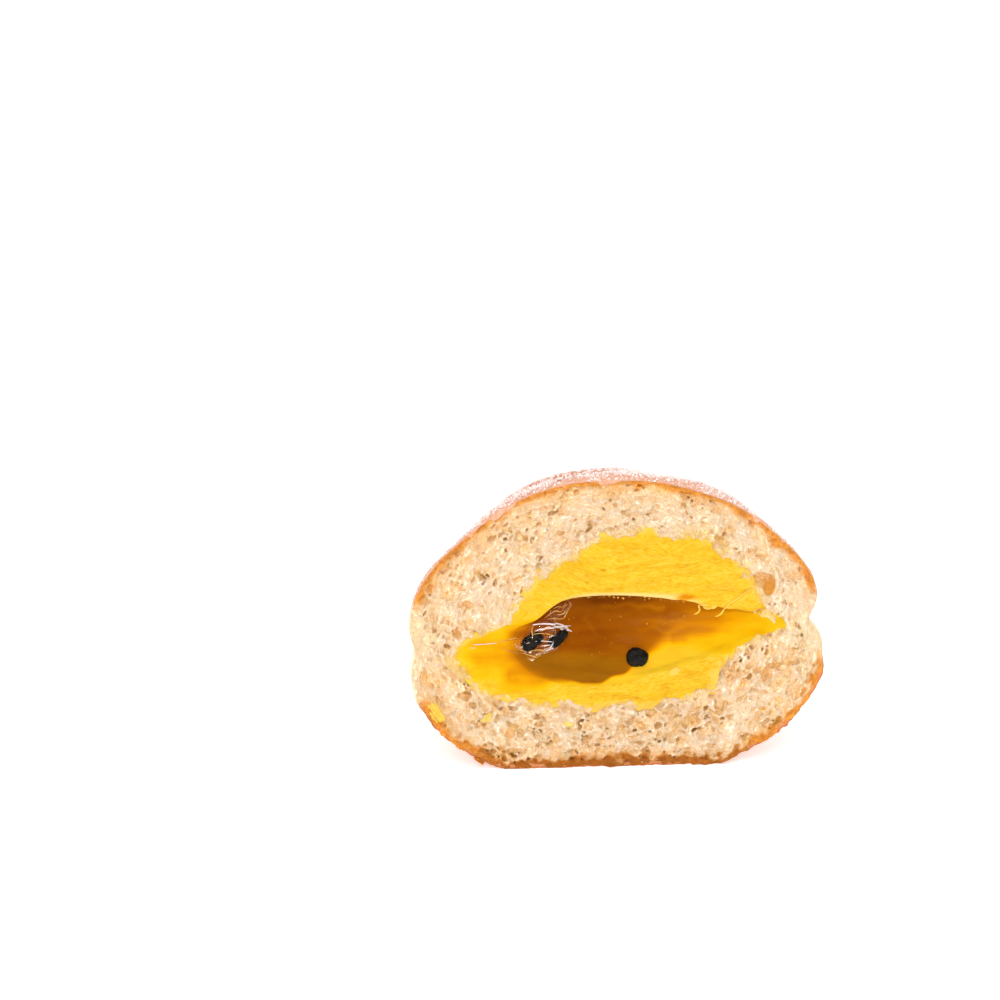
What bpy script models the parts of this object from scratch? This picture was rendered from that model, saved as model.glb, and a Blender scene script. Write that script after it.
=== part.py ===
# Half of a round filled doughnut, standing on its flattened base with the cut face towards -Y.
# Three pieces: the dough, the mango cream that fills its pocket, and the passion fruit jelly
# with its seeds, which lies in a hollow of the cream.
#
# Sizes are in millimetres, and MM turns them into Blender's metres. The shapes are worked out
# about the section's centre, which lies in the cut plane on the doughnut's own axis: x runs to
# the right, y from the cut into the dough, and z up.

import random
from math import asin, atan2, cos, exp, hypot, pi, radians, sin, sqrt, tau

import bmesh
import bpy
from mathutils import Matrix, Vector, noise

MM = 0.001

# The whole doughnut
WIDTH = 90.0
AXIS_HEIGHT = 31.0  # of the section's centre above the table
DOME_RISE = 34.0  # from the section's centre to the top
BELLY_DROP = 34.0  # from the centre to where the belly would end, had it not settled flat
DOME_POWER = 2.0  # 2 is an ellipse, and more is squarer
BELLY_POWER = 2.4
WAIST_TILT = radians(4.9)  # the pale ring stands higher on the right
WAIST_DEPTH = 1.3
WAIST_SPREAD = radians(4.5)
LUMP_HEIGHT = 0.9
LUMPS = 2.6  # lumps to a radius

# The cream's outline in the cut: how far it reaches from the centre at each angle in degrees
CREAM_REACH = (
    (0, 37.0),
    (9, 31.2),
    (28, 30.2),
    (46, 28.0),
    (70, 24.2),
    (94, 21.8),
    (122, 20.3),
    (152, 21.2),
    (172, 23.6),
    (188, 35.8),
    (203, 31.6),
    (217, 25.4),
    (238, 18.8),
    (270, 16.0),
    (297, 18.4),
    (322, 24.6),
    (347, 27.4),
)
CREAM_RAGGED = 0.8
CREAM_RAGGED_GRAIN = 9  # the more, the finer
CREAM_PROUD = 0.5  # how far it stands in front of the cut, on the whole
CREAM_SWELL = 0.7
CREAM_SWELL_GRAIN = 0.14  # swells to a millimetre
STREAK_HEIGHT = 0.25  # of the streaks that the knife left
STREAK_WAVE = (-0.22, 1.6)  # radians to a millimetre, along x and z
POCKET_DEPTH = 27.0  # from the cut to the back of the cream
GAP = 0.3  # left between neighbouring pieces

# The hollow in the cream, an almond between two skewed arcs from tip to tip
HOLLOW_LEFT = Vector((-22.0, 0.0, -1.2))
HOLLOW_RIGHT = Vector((36.0, 0.0, 0.6))
HOLLOW_RISE = 9.3
HOLLOW_FALL = 10.8
HOLLOW_SKEW = 0.576  # under 1 puts the tallest place left of the middle
HOLLOW_FULLNESS = 0.7  # of the upper arc: under 1 keeps it high out to its ends
HOLLOW_TIP_SLOPE = 0.25  # of the lower arc at the right tip
HOLLOW_DEPTH = 13.0
HOLLOW_BOTTOM = Vector((-3.0, 0.0, 1.0))  # where it is deepest

# The jelly's open face lies flush along the lower lip and deep in under the upper one
JELLY_SINK_LOW = 0.05  # as shares of the way down the hollow's wall
JELLY_SINK_HIGH = 0.42
JELLY_SINK_TOP = radians(100)  # the angle at which it lies deepest
JELLY_SAG = 0.6
SEED_LENGTH = 5.0
SEED_WIDTH = 4.0
SEED_THICKNESS = 2.8
SEED_RISE = 0.5  # of a seed's middle above the jelly's face
SEED_TAPER = 0.25  # one end is narrower
SEED_PLACES = (  # x and z from the centre, and the seed's turn in the cut plane
    (-17.6, -3.0, radians(30)),
    (-11.8, -2.0, radians(48)),
    (5.6, -7.2, radians(-20)),
)

# The crumb's relief in the cut
CRUMB_HEIGHT = 0.75
CRUMB_GRAIN = 0.38  # lumps to a millimetre
CRUST_EDGE = 3.0  # the relief grows to its full height this far in from the crust
CRUST_SHARE = 0.25  # of the full height, at the crust itself
PORE_COUNT = 120
PORE_RADIUS = (1.1, 2.3)
PORE_DEPTH = (0.7, 1.7)
PORE_MARGIN = 1.4  # radii between a pore's middle and the crust
LARGE_PORES = (  # x and z from the centre, radius and depth
    (32.4, 9.6, 3.0, 3.2),
    (-34.2, 0.6, 2.3, 2.4),
    (-20.0, 19.6, 1.8, 1.7),
    (17.4, 24.6, 2.0, 1.6),
    (-27.4, 6.4, 2.0, 1.8),
    (5.6, -21.6, 2.4, 1.8),
)

# Mesh fineness
COLUMNS = 32  # across the half dome
ROWS = 44  # from the base's middle to the top
RINGS = 6  # across the crumb, halved once more
POCKET_RINGS = 5
CREAM_RINGS = 7
HOLLOW_RINGS = 5
JELLY_RINGS = 5
JELLY_SAMPLES = 12  # from the rim to the middle, where the seeds are seated

STATIONS = [radians(-90) + pi * i / ROWS for i in range(2 * ROWS)]


def mix(a, b, share):
    return a * (1 - share) + b * share


def towards(angle):
    """The direction in the cut plane at this angle from +X."""
    return Vector((cos(angle), 0, sin(angle)))


def dome_point(latitude, azimuth):
    """A point of the crust. Azimuth 0 is the cut's right edge, and pi is its left edge."""
    direction = Vector(
        (cos(latitude) * cos(azimuth), cos(latitude) * sin(azimuth), sin(latitude))
    )
    rise, power = (DOME_RISE, DOME_POWER) if latitude > 0 else (BELLY_DROP, BELLY_POWER)
    across = abs(cos(latitude)) / (WIDTH / 2)
    upright = abs(sin(latitude)) / rise
    radius = (across**power + upright**power) ** (-1 / power)
    waist = WAIST_TILT * cos(azimuth)
    radius -= WAIST_DEPTH * exp(-(((latitude - waist) / WAIST_SPREAD) ** 2))
    radius += LUMP_HEIGHT * noise.noise(direction * LUMPS)
    point = direction * radius
    if point.z < -AXIS_HEIGHT:  # the belly has settled flat on the table
        point *= AXIS_HEIGHT / -point.z
    return point


def crust_reach(angle):
    """How far the cut reaches from the centre at this angle."""
    return dome_point(asin(sin(angle)), 0 if cos(angle) >= 0 else pi).length


def cream_reach(angle):
    """How far the cream reaches from the centre at this angle, with a ragged edge."""
    degrees = (angle * 360 / tau) % 360
    before = [s for s in CREAM_REACH if s[0] <= degrees][-1]
    after = ([s for s in CREAM_REACH if s[0] > degrees] or [(360, CREAM_REACH[0][1])])[0]
    share = (degrees - before[0]) / (after[0] - before[0])
    reach = mix(before[1], after[1], share * share * (3 - 2 * share))
    return reach + CREAM_RAGGED * noise.noise(towards(angle) * CREAM_RAGGED_GRAIN)


def hollow_rim(angle, gap=0.0):
    """A point of the almond-shaped hollow's rim, or of one that lies a gap inside it."""
    along = (1 + cos(angle)) / 2
    left = HOLLOW_LEFT + Vector((gap, 0, 0))
    right = HOLLOW_RIGHT - Vector((gap / HOLLOW_TIP_SLOPE, 0, 0))
    point = left.lerp(right, along)
    arc = max(0, sin(pi * along**HOLLOW_SKEW))
    if sin(angle) >= 0:
        point.z += (HOLLOW_RISE - gap) * arc**HOLLOW_FULLNESS
    else:
        point.z -= (HOLLOW_FALL - gap) * arc
    return point


def pocket_wall(angle, turn, gap=0.0):
    """A point of the pocket's wall: turn goes from 0 at the cut to pi / 2 at the back."""
    point = towards(angle) * ((cream_reach(angle) - gap) * cos(turn))
    point.y = (POCKET_DEPTH - gap) * sin(turn)
    return point


def hollow_wall(angle, turn, gap=0.0):
    """A point of the wall of the cream's hollow, from its rim to its deepest place."""
    point = HOLLOW_BOTTOM.lerp(hollow_rim(angle, gap), cos(turn))
    slope = 1 + max(0, cos(angle)) ** 2  # it runs out gently to the right
    point.y = (HOLLOW_DEPTH - gap) * sin(turn) ** slope
    return point


def make_pores():
    """The pores in the crumb: the large ones that show, and many small ones between them."""
    draw = random.Random(7)
    pores = list(LARGE_PORES)
    while len(pores) < len(LARGE_PORES) + PORE_COUNT:
        x = draw.uniform(-WIDTH / 2, WIDTH / 2)
        z = draw.uniform(-AXIS_HEIGHT, DOME_RISE)
        radius = draw.uniform(*PORE_RADIUS)
        angle, distance = atan2(z, x), hypot(x, z)
        outermost = crust_reach(angle) - PORE_MARGIN * radius
        if cream_reach(angle) + radius < distance < outermost:
            pores.append((x, z, radius, draw.uniform(*PORE_DEPTH)))
    return pores


def crumb_relief(point, pores):
    """How far the crumb lies behind the cut plane here."""
    relief = CRUMB_HEIGHT * noise.noise(point * CRUMB_GRAIN)
    for x, z, radius, depth in pores:
        away = hypot(point.x - x, point.z - z) / radius
        relief += depth * exp(-(away**4))
    return relief


def cream_relief(point):
    """How far the cream lies in front of the cut plane here: soft, with streaks of the knife."""
    streak = sin(point.x * STREAK_WAVE[0] + point.z * STREAK_WAVE[1])
    swell = noise.noise(point * CREAM_SWELL_GRAIN)
    return CREAM_PROUD + STREAK_HEIGHT * streak + CREAM_SWELL * swell


def add_loop(mesh, points):
    return [mesh.verts.new(p * MM) for p in points]


def add_skin(mesh, loops):
    """Faces between each closed loop and the next."""
    faces = []
    for first, second in zip(loops, loops[1:]):
        for i in range(len(first)):
            j = (i + 1) % len(first)
            faces.append(mesh.faces.new((first[i], first[j], second[j], second[i])))
    return faces


def add_cap(mesh, loop, point):
    """Faces from a closed loop to one point."""
    tip = mesh.verts.new(point * MM)
    for i in range(len(loop)):
        mesh.faces.new((loop[i], loop[(i + 1) % len(loop)], tip))


def turns(count):
    """Even turns from just past 0 to just short of a quarter."""
    return [pi / 2 * k / (count + 1) for k in range(1, count + 1)]


def make_object(name, mesh, material, parent):
    bmesh.ops.recalc_face_normals(mesh, faces=mesh.faces)
    data = bpy.data.meshes.new(name)
    mesh.to_mesh(data)
    mesh.free()
    data.shade_smooth()
    data.materials.append(material)
    made = bpy.data.objects.new(name, data)
    bpy.context.scene.collection.objects.link(made)
    made.parent = parent
    return made


def make_material(name, colour, roughness):
    material = bpy.data.materials.new(name)
    material.use_nodes = True
    shader = material.node_tree.nodes["Principled BSDF"]
    shader.inputs["Base Color"].default_value = (*colour, 1)
    shader.inputs["Roughness"].default_value = roughness
    shader.inputs["Metallic"].default_value = 0
    return material


def add_crust(mesh):
    """The half dome, from the middle of the flat base to the top. Returns the cut's edge."""
    base = mesh.verts.new(dome_point(-pi / 2, 0) * MM)
    top = mesh.verts.new(dome_point(pi / 2, 0) * MM)
    columns = []
    for j in range(COLUMNS + 1):
        azimuth = pi * j / COLUMNS
        latitudes = [-pi / 2 + pi * i / ROWS for i in range(1, ROWS)]
        columns.append(add_loop(mesh, [dome_point(a, azimuth) for a in latitudes]))
    for left, right in zip(columns[1:], columns):
        mesh.faces.new((base, right[0], left[0]))
        mesh.faces.new((top, left[-1], right[-1]))
        for i in range(ROWS - 2):
            mesh.faces.new((right[i], right[i + 1], left[i + 1], left[i]))
    return [base, *columns[0], top, *reversed(columns[-1])]


def make_dough(parent):
    """The bread body: crust outside, crumb in the cut, and the pocket for the cream."""
    mesh = bmesh.new()
    loops = [add_crust(mesh)]
    for ring in range(1, RINGS + 1):
        inwards = ring / RINGS
        points = [
            towards(a) * mix(crust_reach(a), cream_reach(a), inwards) for a in STATIONS
        ]
        loops.append(add_loop(mesh, points))
    crumb = add_skin(mesh, loops)
    wall = [loops[-1]]
    for turn in turns(POCKET_RINGS):
        wall.append(add_loop(mesh, [pocket_wall(a, turn) for a in STATIONS]))
    add_skin(mesh, wall)
    add_cap(mesh, wall[-1], Vector((0, POCKET_DEPTH, 0)))
    edges = list({edge for face in crumb for edge in face.edges})
    made = bmesh.ops.subdivide_edges(mesh, edges=edges, cuts=1, use_grid_fill=True)
    crumb_points = {v for face in crumb for v in face.verts}
    crumb_points |= {v for v in made["geom_split"] if isinstance(v, bmesh.types.BMVert)}
    pores = make_pores()
    for vertex in crumb_points:
        point = vertex.co / MM
        if abs(point.y) > 0.001:
            continue
        from_crust = crust_reach(atan2(point.z, point.x)) - hypot(point.x, point.z)
        share = min(1, CRUST_SHARE + max(0, from_crust) / CRUST_EDGE)
        vertex.co.y += crumb_relief(point, pores) * share * MM
    return make_object(
        "dough", mesh, make_material("dough", (0.86, 0.6, 0.33), 0.8), parent
    )


def make_cream(parent):
    """The cream: it fills the pocket, stands a little proud of the cut, and is hollow inside."""
    mesh = bmesh.new()
    back = []
    for turn in reversed(turns(POCKET_RINGS)):
        back.append(add_loop(mesh, [pocket_wall(a, turn, GAP) for a in STATIONS]))
    add_cap(mesh, back[0], Vector((0, POCKET_DEPTH - GAP, 0)))
    face = []
    for ring in range(CREAM_RINGS + 1):
        inwards = ring / CREAM_RINGS
        points = [
            mix(pocket_wall(a, 0, GAP), hollow_rim(a), inwards) for a in STATIONS
        ]
        for point in points:
            point.y = -cream_relief(point) * sqrt(min(1, inwards * 2))
        face.append(add_loop(mesh, points))
    hollow = []
    for turn in turns(HOLLOW_RINGS):
        hollow.append(add_loop(mesh, [hollow_wall(a, turn) for a in STATIONS]))
    add_skin(mesh, back + face + hollow)
    deepest = HOLLOW_BOTTOM.copy()
    deepest.y = HOLLOW_DEPTH
    add_cap(mesh, hollow[-1], deepest)
    return make_object(
        "mango_cream", mesh, make_material("mango_cream", (0.95, 0.66, 0.06), 0.4), parent
    )


def jelly_sink(angle):
    """How far down the hollow's wall the jelly's open face meets it, as a turn."""
    high = (1 + cos(angle - JELLY_SINK_TOP)) / 2
    return pi / 2 * mix(JELLY_SINK_LOW, JELLY_SINK_HIGH, high**2)


def jelly_face(angle, inwards):
    """A point of the jelly's open face, from its rim to its middle."""
    rim = hollow_wall(angle, jelly_sink(angle), GAP)
    middle = HOLLOW_BOTTOM.copy()
    middle.y = mix(
        hollow_wall(-pi / 2, jelly_sink(-pi / 2)).y,
        hollow_wall(pi / 2, jelly_sink(pi / 2)).y,
        0.5,
    )
    point = rim.lerp(middle, inwards)
    point.y += JELLY_SAG * sin(pi * inwards)
    return point


def jelly_depth(x, z):
    """How far behind the cut plane the jelly's open face lies at this place."""
    shares = [k / JELLY_SAMPLES for k in range(JELLY_SAMPLES + 1)]
    samples = [jelly_face(angle, share) for angle in STATIONS for share in shares]
    return min(samples, key=lambda p: hypot(p.x - x, p.z - z)).y


def make_jelly_body(parent, material):
    mesh = bmesh.new()
    back = []
    for share in reversed(turns(HOLLOW_RINGS)):
        loop = []
        for angle in STATIONS:
            sink = jelly_sink(angle)
            loop.append(hollow_wall(angle, mix(sink, pi / 2, share / (pi / 2)), GAP))
        back.append(add_loop(mesh, loop))
    deepest = HOLLOW_BOTTOM.copy()
    deepest.y = HOLLOW_DEPTH - GAP
    add_cap(mesh, back[0], deepest)
    face = []
    for ring in range(JELLY_RINGS):
        inwards = ring / JELLY_RINGS
        face.append(add_loop(mesh, [jelly_face(a, inwards) for a in STATIONS]))
    add_skin(mesh, back + face)
    add_cap(mesh, face[-1], jelly_face(0, 1))
    return make_object("passion_fruit_jelly", mesh, material, parent)


def make_seed(name, place, material, parent):
    """One flattened seed, partly sunk in the jelly's face."""
    x, z, turn = place
    mesh = bmesh.new()
    bmesh.ops.create_icosphere(mesh, subdivisions=2, radius=0.5)
    size = Matrix.Diagonal(
        (SEED_LENGTH * MM, SEED_THICKNESS * MM, SEED_WIDTH * MM, 1)
    )
    bmesh.ops.transform(mesh, matrix=size, verts=mesh.verts)
    for vertex in mesh.verts:
        vertex.co.z *= 1 - SEED_TAPER * vertex.co.x / (SEED_LENGTH * MM / 2)
    made = make_object(name, mesh, material, parent)
    made.location = Vector((x, jelly_depth(x, z) - SEED_RISE, z)) * MM
    made.rotation_euler = (0, -turn, 0)
    return made


def make_jelly(parent):
    """The jelly with its seeds, joined into one solid."""
    material = make_material("passion_fruit_jelly", (0.6, 0.26, 0.01), 0.15)
    jelly = make_jelly_body(parent, material)
    seeds = bpy.data.collections.new("seeds")
    bpy.context.scene.collection.children.link(seeds)
    for number, place in enumerate(SEED_PLACES, 1):
        seed = make_seed(f"seed_{number}", place, material, parent)
        bpy.context.scene.collection.objects.unlink(seed)
        seeds.objects.link(seed)
    union = jelly.modifiers.new("seeds", "BOOLEAN")
    union.operation = "UNION"
    union.operand_type = "COLLECTION"
    union.collection = seeds
    union.solver = "MANIFOLD"
    bpy.context.view_layer.update()
    graph = bpy.context.evaluated_depsgraph_get()
    joined = bpy.data.meshes.new_from_object(jelly.evaluated_get(graph))
    jelly.modifiers.clear()
    jelly.data = joined
    for seed in list(seeds.objects):
        bpy.data.objects.remove(seed)
    bpy.data.collections.remove(seeds)
    return jelly


def settle(parent, pieces):
    """Puts the origin under the middle of the whole half, on the table."""
    bpy.context.view_layer.update()
    corners = [Vector(c) for piece in pieces for c in piece.bound_box]
    low_x, high_x = min(c.x for c in corners), max(c.x for c in corners)
    low_y, high_y = min(c.y for c in corners), max(c.y for c in corners)
    parent.location = (-(low_x + high_x) / 2, -(low_y + high_y) / 2, AXIS_HEIGHT * MM)


def main():
    for old in list(bpy.data.objects):
        bpy.data.objects.remove(old)
    centre = bpy.data.objects.new("section_centre", None)
    bpy.context.scene.collection.objects.link(centre)
    pieces = [make_dough(centre), make_cream(centre), make_jelly(centre)]
    settle(centre, pieces)


main()
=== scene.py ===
# Half of a round filled doughnut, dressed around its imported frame.
# Shapes are worked out in millimetres about the section's centre: x runs to the right, y from
# the cut into the dough, and z up. toFrame turns them into the frame's metres.

import itertools
import math

import bpy
import numpy as np
import openvdb
from mathutils import Matrix, Vector, noise
from mathutils.bvhtree import BVHTree


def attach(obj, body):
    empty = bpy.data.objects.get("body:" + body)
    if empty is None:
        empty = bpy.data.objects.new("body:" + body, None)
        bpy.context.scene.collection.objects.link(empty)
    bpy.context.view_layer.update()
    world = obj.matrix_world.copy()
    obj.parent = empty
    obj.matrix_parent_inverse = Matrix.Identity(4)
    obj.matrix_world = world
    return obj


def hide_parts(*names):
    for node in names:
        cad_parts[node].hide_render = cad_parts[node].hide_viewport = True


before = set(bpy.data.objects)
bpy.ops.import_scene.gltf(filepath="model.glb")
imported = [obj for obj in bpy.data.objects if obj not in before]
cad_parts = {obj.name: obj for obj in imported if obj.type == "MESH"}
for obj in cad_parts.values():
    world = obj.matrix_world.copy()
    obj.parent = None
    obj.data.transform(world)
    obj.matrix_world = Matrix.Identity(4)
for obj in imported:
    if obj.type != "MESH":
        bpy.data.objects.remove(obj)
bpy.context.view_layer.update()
print("frame loaded:", sorted(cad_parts))

# The same doughnut as in the solids
whole = {
    "sectionCentre": (-0.17, -21.90, 31.0),  # in the frame
    "width": 90.0,
    "axisHeight": 31.0,
    "domeRise": 34.0,
    "bellyDrop": 34.0,  # where the belly would end if it hadn't settled flat
    "domePower": 2.0,  # 2 is round, and higher is boxier
    "bellyPower": 2.4,
    "waistTilt": math.radians(4.9),
    "waistDepth": 1.3,
    "waistSpread": math.radians(4.5),
    "lumpHeight": 0.9,
    "lumps": 2.6,
    # where it swells or draws in: angle in degrees, how far, width in degrees, and growth behind the cut
    "swells": [
        (-145, 0.5, 9, 0), (-116, 0.6, 9, 0), (-66, 0.5, 12, 0), (-14, 0.8, 7, 0), (2.5, -1.9, 3.5, 0),
        (150, -0.9, 20, 12), (36, -0.1, 14, 8),
    ],
}


# Shared tools

def toFrame(points):
    return (np.asarray(points) + whole["sectionCentre"]) * 0.001


def mix(a, b, share):
    return a * (1 - share) + b * share


def ease(value, low, high):
    # 0 below low, 1 above high, and smooth between
    share = np.clip((value - low) / (high - low), 0, 1)
    return share * share * (3 - 2 * share)


def hump(offset):
    # 1 at 0, falling off to both sides
    return np.exp(-(offset**2))


def lookUp(table, at, period=None):
    # the value between a table's entries
    return np.interp(at, list(table), list(table.values()), period=period)


def polar(x, z):
    # angle about the section's centre, and distance from it
    return np.arctan2(z, x), np.hypot(x, z)


def directionOf(points):
    return points / np.maximum(np.linalg.norm(points, axis=1, keepdims=True), 1e-9)


def smoothField(shape, lump, seed):
    # random values about 0 that repeat at the edges, with lumps of this many samples
    spectrum = np.fft.rfftn(np.random.default_rng(seed).standard_normal(shape))
    for axis, count in enumerate(shape):
        last = axis == len(shape) - 1
        frequency = np.fft.rfftfreq(count) if last else np.fft.fftfreq(count)
        falloff = np.exp(-2 * (math.pi * frequency * lump / 2.5) ** 2)
        spectrum *= falloff.reshape([-1 if i == axis else 1 for i in range(len(shape))])
    field = np.fft.irfftn(spectrum, s=shape, axes=range(len(shape)))
    return (field / field.std()).astype(np.float32)


noiseSize = 128  # samples along each side of the stored noise
noiseLump = 3.0  # the size of its lumps, in samples
noiseVolumes = {}


def ripple(points, lump, seed=0):
    # smooth noise about 0 at these points, with lumps of this many millimetres
    if seed not in noiseVolumes:
        noiseVolumes[seed] = smoothField((noiseSize,) * 3, noiseLump, seed)
    volume = noiseVolumes[seed]
    place = np.asarray(points, np.float32) * (noiseLump / lump)
    low = np.floor(place).astype(np.int32)
    share = place - low
    share = share * share * (3 - 2 * share)
    total = np.zeros(place.shape[:-1], np.float32)
    for corner in itertools.product((0, 1), repeat=3):
        index = (low + np.array(corner, np.int32)) % noiseSize
        weight = np.prod(np.where(corner, share, 1 - share), axis=-1)
        total += weight * volume[index[..., 0], index[..., 1], index[..., 2]]
    return total


dotCount = 32  # the dots repeat after this many
strewnDots = {}


def cellPattern(points, size, seed=0):
    # how far the nearest and the second nearest of strewn dots lie, in units of their spacing,
    # and a random number that goes with the nearest one
    if seed not in strewnDots:
        strewnDots[seed] = np.random.default_rng(seed).random((dotCount,) * 3 + (3,), np.float32)
    place = np.asarray(points, np.float32) / size
    low = np.floor(place).astype(np.int32)
    share = place - low
    first = np.full(place.shape[:-1], 9.0, np.float32)
    second, chance = first.copy(), first.copy()
    for corner in itertools.product((-1, 0, 1), repeat=3):
        index = (low + np.array(corner, np.int32)) % dotCount
        dot = strewnDots[seed][index[..., 0], index[..., 1], index[..., 2]]
        away = np.sqrt((((dot + np.array(corner, np.float32)) - share) ** 2).sum(axis=-1))
        second = np.minimum(np.maximum(first, away), second)
        chance = np.where(away < first, dot[..., 0], chance)
        first = np.minimum(first, away)
    return first, second, chance


def flatPoints(x, z):
    # points in the cut plane
    return np.stack([x, np.zeros_like(x), z], axis=-1)


def around(angle):
    return flatPoints(np.cos(angle), np.sin(angle))


def fullTurn(columns):
    # evenly spaced angles all the way round
    return np.linspace(0, 2 * math.pi, columns, endpoint=False)


def turned(u, v, midX, midZ, degrees):
    # places in the cut from an oval's own axes, turned about its middle
    turn = math.radians(degrees)
    return midX + u * math.cos(turn) - v * math.sin(turn), midZ + u * math.sin(turn) + v * math.cos(turn)


def alongDome(x, z, wrap=18.0):
    # places wrapped round the section, where a pattern comes out flattened along the crust
    angle = np.arctan2(z, x)
    return np.stack([wrap * np.cos(angle), wrap * np.sin(angle), np.hypot(x, z)], axis=-1)


def surfaceOf(points, rows, columns):
    # rows of points as a surface that depthAt can look up
    return BVHTree.FromPolygons(points.tolist(), gridFaces(rows, columns).tolist())


def ovalRings(middle, halves, degrees, outline, across):
    # the rings of a turned oval from its middle outwards: how far out each is, and its places
    angle = fullTurn(len(outline))
    for step in range(1, across + 1):
        share = step / across
        u, v = share * np.cos(angle) * outline * halves[0], share * np.sin(angle) * outline * halves[1]
        yield share, *turned(u, v, *middle, degrees)


def closeLens(front, behind):
    # a thin body between two sets of rings, from the middle outwards
    return closeRows(front + behind[::-1], front[0].mean(axis=0), behind[0].mean(axis=0))


def outwardFaces(points, faces):
    # the same faces, turned about where they make the body inside out
    volume = 0.0
    for f in faces:
        a, b, c = points[f[:, 0]], points[f[:, 1]], points[f[:, 2]]
        volume += np.einsum("ij,ij->", a, np.cross(b, c))
        if f.shape[1] == 4:
            volume += np.einsum("ij,ij->", a, np.cross(c, points[f[:, 3]]))
    return faces if volume > 0 else [f[:, ::-1] for f in faces]


def addToScene(name, data):
    thing = bpy.data.objects.new(name, data)
    bpy.context.scene.collection.objects.link(thing)
    return thing


def makePiece(name, points, faces, material, replaces=(), smooth=True):
    # faces is one array of corner numbers, or several with different numbers of corners
    sets = [np.asarray(f, np.int32) for f in (faces if isinstance(faces, list) else [faces])]
    corners = np.concatenate([np.full(len(f), f.shape[1]) for f in sets])
    starts = np.concatenate([[0], np.cumsum(corners)[:-1]]).astype(np.int32)
    mesh = bpy.data.meshes.new(name)
    mesh.vertices.add(len(points))
    mesh.vertices.foreach_set("co", toFrame(points).astype(np.float32).ravel())
    mesh.loops.add(int(corners.sum()))
    mesh.loops.foreach_set("vertex_index", np.concatenate([f.ravel() for f in sets]))
    mesh.polygons.add(len(corners))
    mesh.polygons.foreach_set("loop_start", starts)
    mesh.update(calc_edges=True)
    mesh.validate()
    (mesh.shade_smooth if smooth else mesh.shade_flat)()
    mesh.materials.append(material)
    piece = addToScene(name, mesh)
    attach(piece, "root")
    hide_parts(*replaces)
    print("made", name, "with", len(corners), "faces")
    return piece


def paintPoints(piece, **layers):
    # named numbers on the mesh's points, which its material reads with layer
    for name, values in layers.items():
        layer = piece.data.attributes.new(name, "FLOAT", "POINT")
        layer.data.foreach_set("value", np.asarray(values, np.float32))


def paintFlow(piece, places):
    # places in which a material's fine pattern runs with the substance, not with the frame's axes
    flow = piece.data.attributes.new("flow", "FLOAT_VECTOR", "POINT")
    flow.data.foreach_set("vector", (places * 0.001).astype(np.float32).ravel())


def gridFaces(rows, columns):
    # quads of a grid stored row by row, whose rows close on themselves
    i, j = np.meshgrid(np.arange(rows - 1), np.arange(columns), indexing="ij")
    i, j = i.ravel(), j.ravel()
    k = (j + 1) % columns
    return np.stack([i * columns + j, i * columns + k, (i + 1) * columns + k, (i + 1) * columns + j], 1)


def looseParts(count, faces):
    # the number of the connected part that each point belongs to
    part = np.arange(count)
    while True:
        lowest = part[faces].min(axis=1)
        new = part.copy()
        for corner in range(faces.shape[1]):
            np.minimum.at(new, faces[:, corner], lowest)
        new = new[new]
        if (new == part).all():
            return part
        part = new


# Materials

def paint(red, green, blue):
    # a colour as seen on a screen, 0 to 255, for a shader
    values = np.array([red, green, blue]) / 255
    linear = np.where(values <= 0.04045, values / 12.92, ((values + 0.055) / 1.055) ** 2.4)
    return (*linear.tolist(), 1.0)


def addNode(tree, kind, inputs=None, **settings):
    node = tree.nodes.new("ShaderNode" + kind)
    for key, value in settings.items():
        setattr(node, key, value)
    for key, value in (inputs or {}).items():
        if isinstance(value, bpy.types.NodeSocket):
            tree.links.new(value, node.inputs[key])
        else:
            node.inputs[key].default_value = value
    return node


def layer(tree, name):
    return addNode(tree, "Attribute", attribute_name=name).outputs["Fac"]


def mixColours(tree, share, first, second, blend="MIX"):
    node = addNode(tree, "Mix", {0: share, 6: first, 7: second}, data_type="RGBA", blend_type=blend)
    return node.outputs[2]


def spread(tree, value, low, high, first=0.0, last=1.0):
    # from first at the low level to last at the high one, and no further
    between = {"Value": value, "From Min": low, "From Max": high, "To Min": first, "To Max": last}
    return addNode(tree, "MapRange", between).outputs["Result"]


def tinted(tree, name, share, base, colour):
    # a colour over the base where this layer is painted, at most by this share
    return mixColours(tree, multiply(tree, layer(tree, name), share), base, colour)


def spots(tree, scale, low, high, detail=3.0, roughness=0.55):
    # noise in the object's own space, squeezed so that it runs from 0 to 1 between two levels
    place = addNode(tree, "TexCoord").outputs["Object"]
    values = {"Vector": place, "Scale": scale, "Detail": detail, "Roughness": roughness}
    grain = addNode(tree, "TexNoise", values).outputs["Fac"]
    return spread(tree, grain, low, high)


def fineNoise(tree, scale, stretch=(1, 1, 1), detail=2.0, bend=0.0, flow=None):
    # noise with this many lumps a metre, closer where stretch is higher, in space or in a painted flow
    place = addNode(tree, "TexCoord").outputs["Object"]
    if flow:
        place = addNode(tree, "Attribute", attribute_name=flow).outputs["Vector"]
    place = addNode(tree, "Mapping", {"Vector": place, "Scale": stretch}).outputs["Vector"]
    grain = addNode(tree, "TexNoise", {"Vector": place, "Scale": scale, "Detail": detail, "Distortion": bend})
    return grain.outputs["Fac"]


def curls(tree, scale, flow):
    # 0 along thin curled lines, and more the farther from them
    noise = fineNoise(tree, scale, (1, 1, 1), 1.5, 0.7, flow)
    away = addNode(tree, "Math", {0: noise, 1: 0.5}, operation="SUBTRACT")
    return addNode(tree, "Math", {0: away.outputs[0]}, operation="ABSOLUTE").outputs[0]


def multiply(tree, first, second):
    return addNode(tree, "Math", {0: first, 1: second}, operation="MULTIPLY").outputs[0]


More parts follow.
